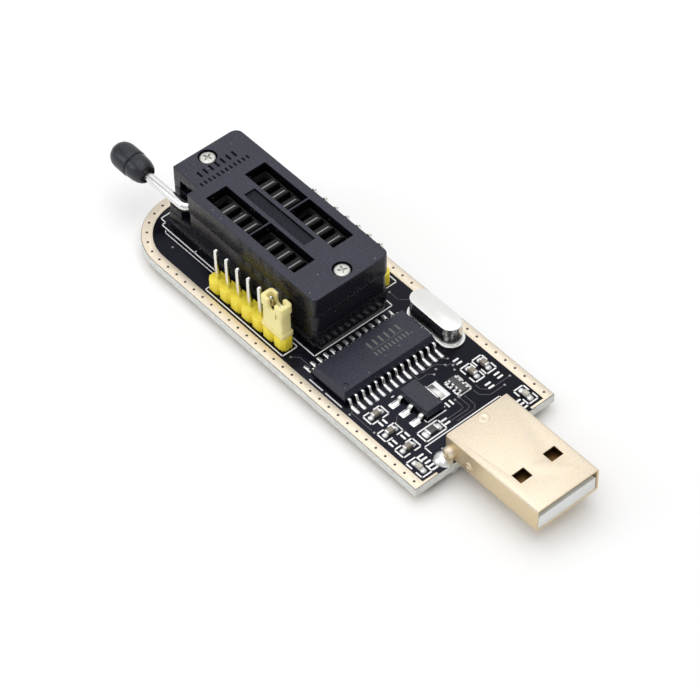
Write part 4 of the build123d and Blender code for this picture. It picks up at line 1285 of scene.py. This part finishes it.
# Their solder: place in PART_BOXES, (x, y) from its middle to each mound, mound size and height.
SMALL_JOINTS = (
    [(k, (0, 0.95), (0.95, 0.9), 0.34) for k in (0, 1, 2)]
    + [(k, (0.95, 0), (0.9, 0.95), 0.34) for k in (3, 4)]
    + [(k, (0.95, 0), (0.85, 0.95), 0.3) for k in (6, 7)]
    + [(5, (0, 1.2), (1.4, 0.9), 0.26)]
)


class PROGRAMMER_OT_small_parts(bpy.types.Operator):
    """Capacitors, resistor, resistor array and lamps, with their solder"""

    bl_idname = "programmer.small_parts"
    bl_label = "Small parts"

    def execute(self, context):
        settings = context.scene.programmer_parts
        lens = Finish("lamp_lens", tuple(settings.lens), 0.12, Transmission_Weight=0.3, IOR=1.5)
        finishes = {
            "ceramic": moulding("capacitor_ceramic", tuple(settings.ceramic), 0.35, 0.006),
            "glaze": moulding("resistor_glaze", (0.05, 0.05, 0.055), 0.25, 0.004),
            "tin": metal("end_cap_tin", (0.74, 0.74, 0.73), 0.34, 0.03),
            "white": moulding("lamp_base", (0.75, 0.76, 0.74), 0.4, 0.006),
            "lens": lens.shades(lens.noise(2, 2), 0.1),
        }
        for node, name, edge, slot, finish in SMALL_PARTS:
            place(from_node(node, name, edge), "board", slot, finishes[finish].made, node)

        mounds = []
        for k, (dx, dy), size, height in SMALL_JOINTS:
            x, y = PART_BOXES[k][0]
            mounds += [solder_mound((x + side * dx, y + side * dy), size, height) for side in (-1, 1)]
        x, y = PART_BOXES[8][0]
        mounds += [solder_mound((x + step, y + side), (0.5, 0.8), 0.2)
                   for step in centred(4, 0.8) for side in (-1, 1)]
        place(join(mounds, "small_joints"), "board", "solder", solder())
        return {"FINISHED"}


# --- plug -------------------------------------------------------------------------------------------


class PROGRAMMER_OT_plug(bpy.types.Operator):
    """USB-A plug: folded shell, insulator and contacts"""

    bl_idname = "programmer.plug"
    bl_label = "Plug"

    def execute(self, context):
        settings = context.scene.programmer_plug
        (x0, x1), (y0, y1), (_, z1) = room("plug_shell")
        wall, fold = settings.wall / MM, settings.fold / MM
        shell = block("plug_sleeve", (x0, x1), (y0, y1), (0, z1))
        round_edges(shell, lambda e: runs(e, ALONG), fold, 5)
        with editing(shell):
            pick(shell, "faces", lambda f: abs(f.normal.x) > 0.9)
            bpy.ops.mesh.delete(type="FACE")
        modify(shell, "SOLIDIFY", thickness=wall * MM, offset=-1, use_even_offset=True)
        window_x = x1 - 6.35
        for y in centred(2, 6.02):
            carve(shell, [block("window", (window_x - 1, window_x + 1), (y - 1.15, y + 1.15),
                                (-1, z1 + 1))])
        carve(shell, [block("floor_gap", (x0 - 1, 0.1), (y0 + wall, y1 - wall), (-1, wall + 0.1))])
        carve(shell, [block("board_room", (x0 - 1, 0.1), (y0 - 1, y1 + 1), (-1, 0.06))])
        soften(shell, 0.07, 2, 40)
        sides = [shell]
        for side in (-1, 1):
            # a leg through the board, and the lobe that it is folded from
            leg = block("leg", (-1.85, -0.35), sorted((side * y1, side * (y1 - wall))), (-2.5, 1.2))
            sides.append(soften(leg, 0.06, 2))
            lobe = lathe("lobe", (-0.9, side * (y1 - 0.15), 1.75), ACROSS * side,
                         [(0, 1.05), (0.45, 1.05), (0.85, 0.96), (1.1, 0.72), (1.22, 0.4),
                          (1.25, 0.12)], 28)
            sides.append(shade(lobe, 60))
            ring = lathe("dimple", (2.9, side * (y1 - 0.06), 1.8), ACROSS * side,
                         [(0, 0.7), (0.16, 0.66), (0.26, 0.52), (0.26, 0.36), (0.02, 0.24),
                          (0.02, 0.05)], 28)
            sides.append(shade(ring, 40))
            sides.append(shade(lathe("pip", (15.2, side * (y1 - 0.03), 2.6), ACROSS * side,
                                     [(0, 0.14), (0.06, 0.1), (0.06, 0.03)], 14), 40))
        stamp = lathe("stamp", (-0.76, 0.19, z1 - 0.03), UP,
                      [(0, 0.95), (0.09, 0.8), (0.12, 0.6), (0.05, 0.42), (0.03, 0.1)], 28)
        sides.append(shade(stamp, 40))
        sleeve = join(sides, "plug_sleeve")
        gilt = gilt_finish("plug_gilt", tuple(settings.shell), 0.46, 0.85).made
        # painted shade: faces that don't face up take a darker, deeper gold copy of the shell's plating
        painted_shade_gilt = tuple(c * w for c, w in zip(settings.shell, (0.90, 0.85, 0.70)))
        shaded_gilt = gilt_finish("plug_gilt_sides", painted_shade_gilt, 0.38, 0.9).made
        place(sleeve, "board", "plug_gold", gilt, "plug_shell")
        sleeve.data.materials.append(shaded_gilt)
        for face in sleeve.data.polygons:
            face.material_index = 0 if face.normal.z > 0.3 else 1

        # a dark brown plate that shows through the windows: painted shade and painted gold reflection from
        # inside the shell, where the plug has no such part
        shade_plate = block("plug_liner", (window_x - 2.6, x1 - 1.6), (y0 + wall + 0.1, y1 - wall - 0.1),
                      (3.0, 3.12))
        shade_umber = metal("liner_umber", (0.16, 0.085, 0.03), 0.5, 0.004).made
        place(soften(shade_plate, 0.04, 1), "board", "plug_gold", shade_umber)

        (ix0, ix1), (iy0, iy1), (_, iz1) = room("plug_insulator")
        cz1 = room("plug_contacts")[2][1]
        tongue = block("plug_tongue", (0.1, ix1), (iy0, iy1), (wall, cz1 + 0.05))
        round_edges(tongue, lambda e: runs(e, ALONG), 0.22, 3)
        for y in (-3.5, -1.0, 1.0, 3.5):
            carve(tongue, [block("groove", (0.5, ix1 - 0.9), (y - 0.52, y + 0.52), (cz1 - 0.25, cz1 + 1))])
        heel = block("heel", (ix0, 3.0), (iy0, iy1), (wall + 0.08, iz1))
        round_edges(heel, lambda e: runs(e, ALONG), 0.22, 3)
        carve(tongue, [heel], "UNION")
        soften(tongue, 0.09, 2, 40)
        white = moulding("plug_nylon", tuple(settings.insulator), 0.42, 0.01, Subsurface_Weight=0.2,
                         Subsurface_Radius=(0.0006, 0.0006, 0.0006)).made
        place(tongue, "board", "white_plastic", white, "plug_insulator")
        contacts = from_node("plug_contacts", "plug_blades", 0.04, 1)
        gold = metal("blade_gold", tuple(settings.contact), 0.22, 0.004).made
        place(contacts, "board", "plug_gold", gold, "plug_contacts")
        return {"FINISHED"}


# --- solder -----------------------------------------------------------------------------------------


class PROGRAMMER_OT_joints(bpy.types.Operator):
    """Solder joints under the board and beside the plug"""

    bl_idname = "programmer.joints"
    bl_label = "Solder joints"

    def execute(self, context):
        _, _, (z0, z1) = room("header_solder")
        # a thin flange under the board that draws in along the pin
        flow = [(z1 + 0.02, 0.98), (z1 - 0.06, 0.95), (z1 - 0.22, 0.78), (z1 - 0.42, 0.6),
                (z1 - 0.65, 0.48), (z0, 0.4), (z0 - 0.04, 0.2)]
        radius = 0.95
        for name, ways in (("header", 7), ("socket", 8)):
            (x0, x1), (y0, y1), _ = room(f"{name}_solder")
            joint = shade(lathe("joint", (x0 + radius, y0 + radius, 0), UP, flow, 20), 60)
            row_gap = y1 - y0 - 2 * radius
            shifts = [(k * PIN_PITCH, row * row_gap, 0) for k in range(ways) for row in (0, 1)]
            joints = copies(joint, shifts, f"{name}_joints")
            place(joints, "board", "solder", solder(), f"{name}_solder")

        (x0, x1), (y0, y1), _ = room("crystal_solder")
        joint = shade(lathe("joint", (x0 + radius, (y0 + y1) / 2, 0), UP, flow, 20), 60)
        joints = copies(joint, [(0, 0, 0), (x1 - x0 - 2 * radius, 0, 0)], "crystal_joints")
        place(joints, "board", "solder", solder(), "crystal_solder")

        legs = from_node("plug_solder", "plug_joints", 0.12, 2, 50)
        place(legs, "board", "solder", solder(), "plug_solder")

        lumps = []
        for side in (-1, 1):
            lump = lathe("lump", (-1.5, side * 6.85, -0.1), UP,
                         [(0, 1.62), (0.3, 1.6), (0.62, 1.42), (0.88, 1.1), (1.06, 0.66), (1.12, 0.2)], 18)
            with editing(lump, "VERT"):
                bpy.ops.mesh.select_all(action="SELECT")
                bpy.ops.transform.vertex_random(offset=0.3 * MM, normal=0.4, seed=3 + side)
                bpy.ops.mesh.vertices_smooth(factor=0.5, repeat=2)
            lumps.append(shade(lump, 60))
        place(join(lumps, "leg_lumps"), "board", "solder", solder(), "leg_solder")
        return {"FINISHED"}


# --- stage ------------------------------------------------------------------------------------------


def soft_light(name, place_mm, aim, size, power):
    """A square light that faces a point, all in millimetres on the board."""
    data = bpy.data.lights.new(name, "AREA")
    data.size = size * MM
    data.energy = power
    light = bpy.data.objects.new(name, data)
    bpy.context.collection.objects.link(light)
    light.location = at(*place_mm)
    light.rotation_euler = (at(*place_mm) - at(*aim)).to_track_quat("Z", "Y").to_euler()
    return light


# Lights: name, place, width and power.
LIGHTS = (
    ("key", (-330, 250, 450), 700, 0.8),
    ("top", (-40, -60, 600), 700, 1.9),
    ("front", (-330, -420, 260), 240, 0.5),
)


class PROGRAMMER_OT_stage(bpy.types.Operator):
    """Pale floor, soft lights and the camera"""

    bl_idname = "programmer.stage"
    bl_label = "Stage"

    def execute(self, context):
        settings = context.scene.programmer_stage
        scene = context.scene
        scene.view_settings.view_transform = "Standard"
        deselect()
        bpy.ops.mesh.primitive_plane_add(size=6, location=(0, 0, -0.02 * MM))
        floor = settle("floor")
        paper = Finish("floor_paper", tuple(settings.floor), 0.9, Specular_IOR_Level=0.1)
        floor.data.materials.append(paper.made)
        floor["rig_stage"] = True

        aim = (-26.5, -3.1, 0)
        azimuth, elevation = settings.azimuth, settings.elevation
        back = Vector((math.sin(azimuth) * math.cos(elevation), -math.cos(azimuth) * math.cos(elevation),
                       math.sin(elevation)))
        data = bpy.data.cameras.new("camera")
        data.lens = settings.lens
        data.sensor_width = 36
        camera = bpy.data.objects.new("camera", data)
        context.collection.objects.link(camera)
        camera.location = at(*aim) + back * settings.distance
        camera.rotation_mode = "QUATERNION"
        roll = Matrix.Rotation(settings.roll, 4, "Z").to_quaternion()
        camera.rotation_quaternion = (-back).to_track_quat("-Z", "Y") @ roll
        data.clip_start, data.clip_end = 0.01, 20
        scene.camera = camera

        for name, place_mm, size, power in LIGHTS:
            soft_light(name, place_mm, (-26, 0, 0), size, power)
        world = bpy.data.worlds.new("studio")
        world.use_nodes = True
        sky = world.node_tree.nodes["Background"]
        sky.inputs["Color"].default_value = (1, 1, 1, 1)
        sky.inputs["Strength"].default_value = 0.6
        scene.world = world
        return {"FINISHED"}


# --- registration -----------------------------------------------------------------------------------

OPERATORS = (
    PROGRAMMER_OT_board, PROGRAMMER_OT_border, PROGRAMMER_OT_print, PROGRAMMER_OT_tracks,
    PROGRAMMER_OT_socket_cover, PROGRAMMER_OT_socket_base, PROGRAMMER_OT_screws, PROGRAMMER_OT_lever,
    PROGRAMMER_OT_headers, PROGRAMMER_OT_jumper, PROGRAMMER_OT_controller, PROGRAMMER_OT_crystal,
    PROGRAMMER_OT_regulator, PROGRAMMER_OT_small_parts, PROGRAMMER_OT_plug, PROGRAMMER_OT_joints,
    PROGRAMMER_OT_stage,
)
SETTINGS = {
    "programmer_board": BoardSettings,
    "programmer_socket": SocketSettings,
    "programmer_header": HeaderSettings,
    "programmer_parts": PartsSettings,
    "programmer_plug": PlugSettings,
    "programmer_stage": StageSettings,
}


class PROGRAMMER_PT_panel(bpy.types.Panel):
    """Sidebar panel with every setting and every step"""

    bl_label = "Chip programmer"
    bl_idname = "PROGRAMMER_PT_panel"
    bl_space_type = "VIEW_3D"
    bl_region_type = "UI"
    bl_category = "Programmer"

    def draw(self, context):
        for key, group in SETTINGS.items():
            box = self.layout.box()
            for name in group.__annotations__:
                box.prop(getattr(context.scene, key), name)
        for operator in OPERATORS:
            self.layout.operator(operator.bl_idname)


def register():
    for key, group in SETTINGS.items():
        bpy.utils.register_class(group)
        setattr(bpy.types.Scene, key, bpy.props.PointerProperty(type=group))
    for operator in OPERATORS:
        bpy.utils.register_class(operator)
    bpy.utils.register_class(PROGRAMMER_PT_panel)


def unregister():
    bpy.utils.unregister_class(PROGRAMMER_PT_panel)
    for operator in reversed(OPERATORS):
        bpy.utils.unregister_class(operator)
    for key, group in SETTINGS.items():
        delattr(bpy.types.Scene, key)
        bpy.utils.unregister_class(group)


def main():
    register()
    for operator in OPERATORS:
        group, name = operator.bl_idname.split(".")
        getattr(getattr(bpy.ops, group), name)()
    deselect()
    sizes = {key: [list(corner) for corner in box]
             for key, box in (("cad", frame_box), ("visual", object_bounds()))}


if __name__ == "__main__":
    main()
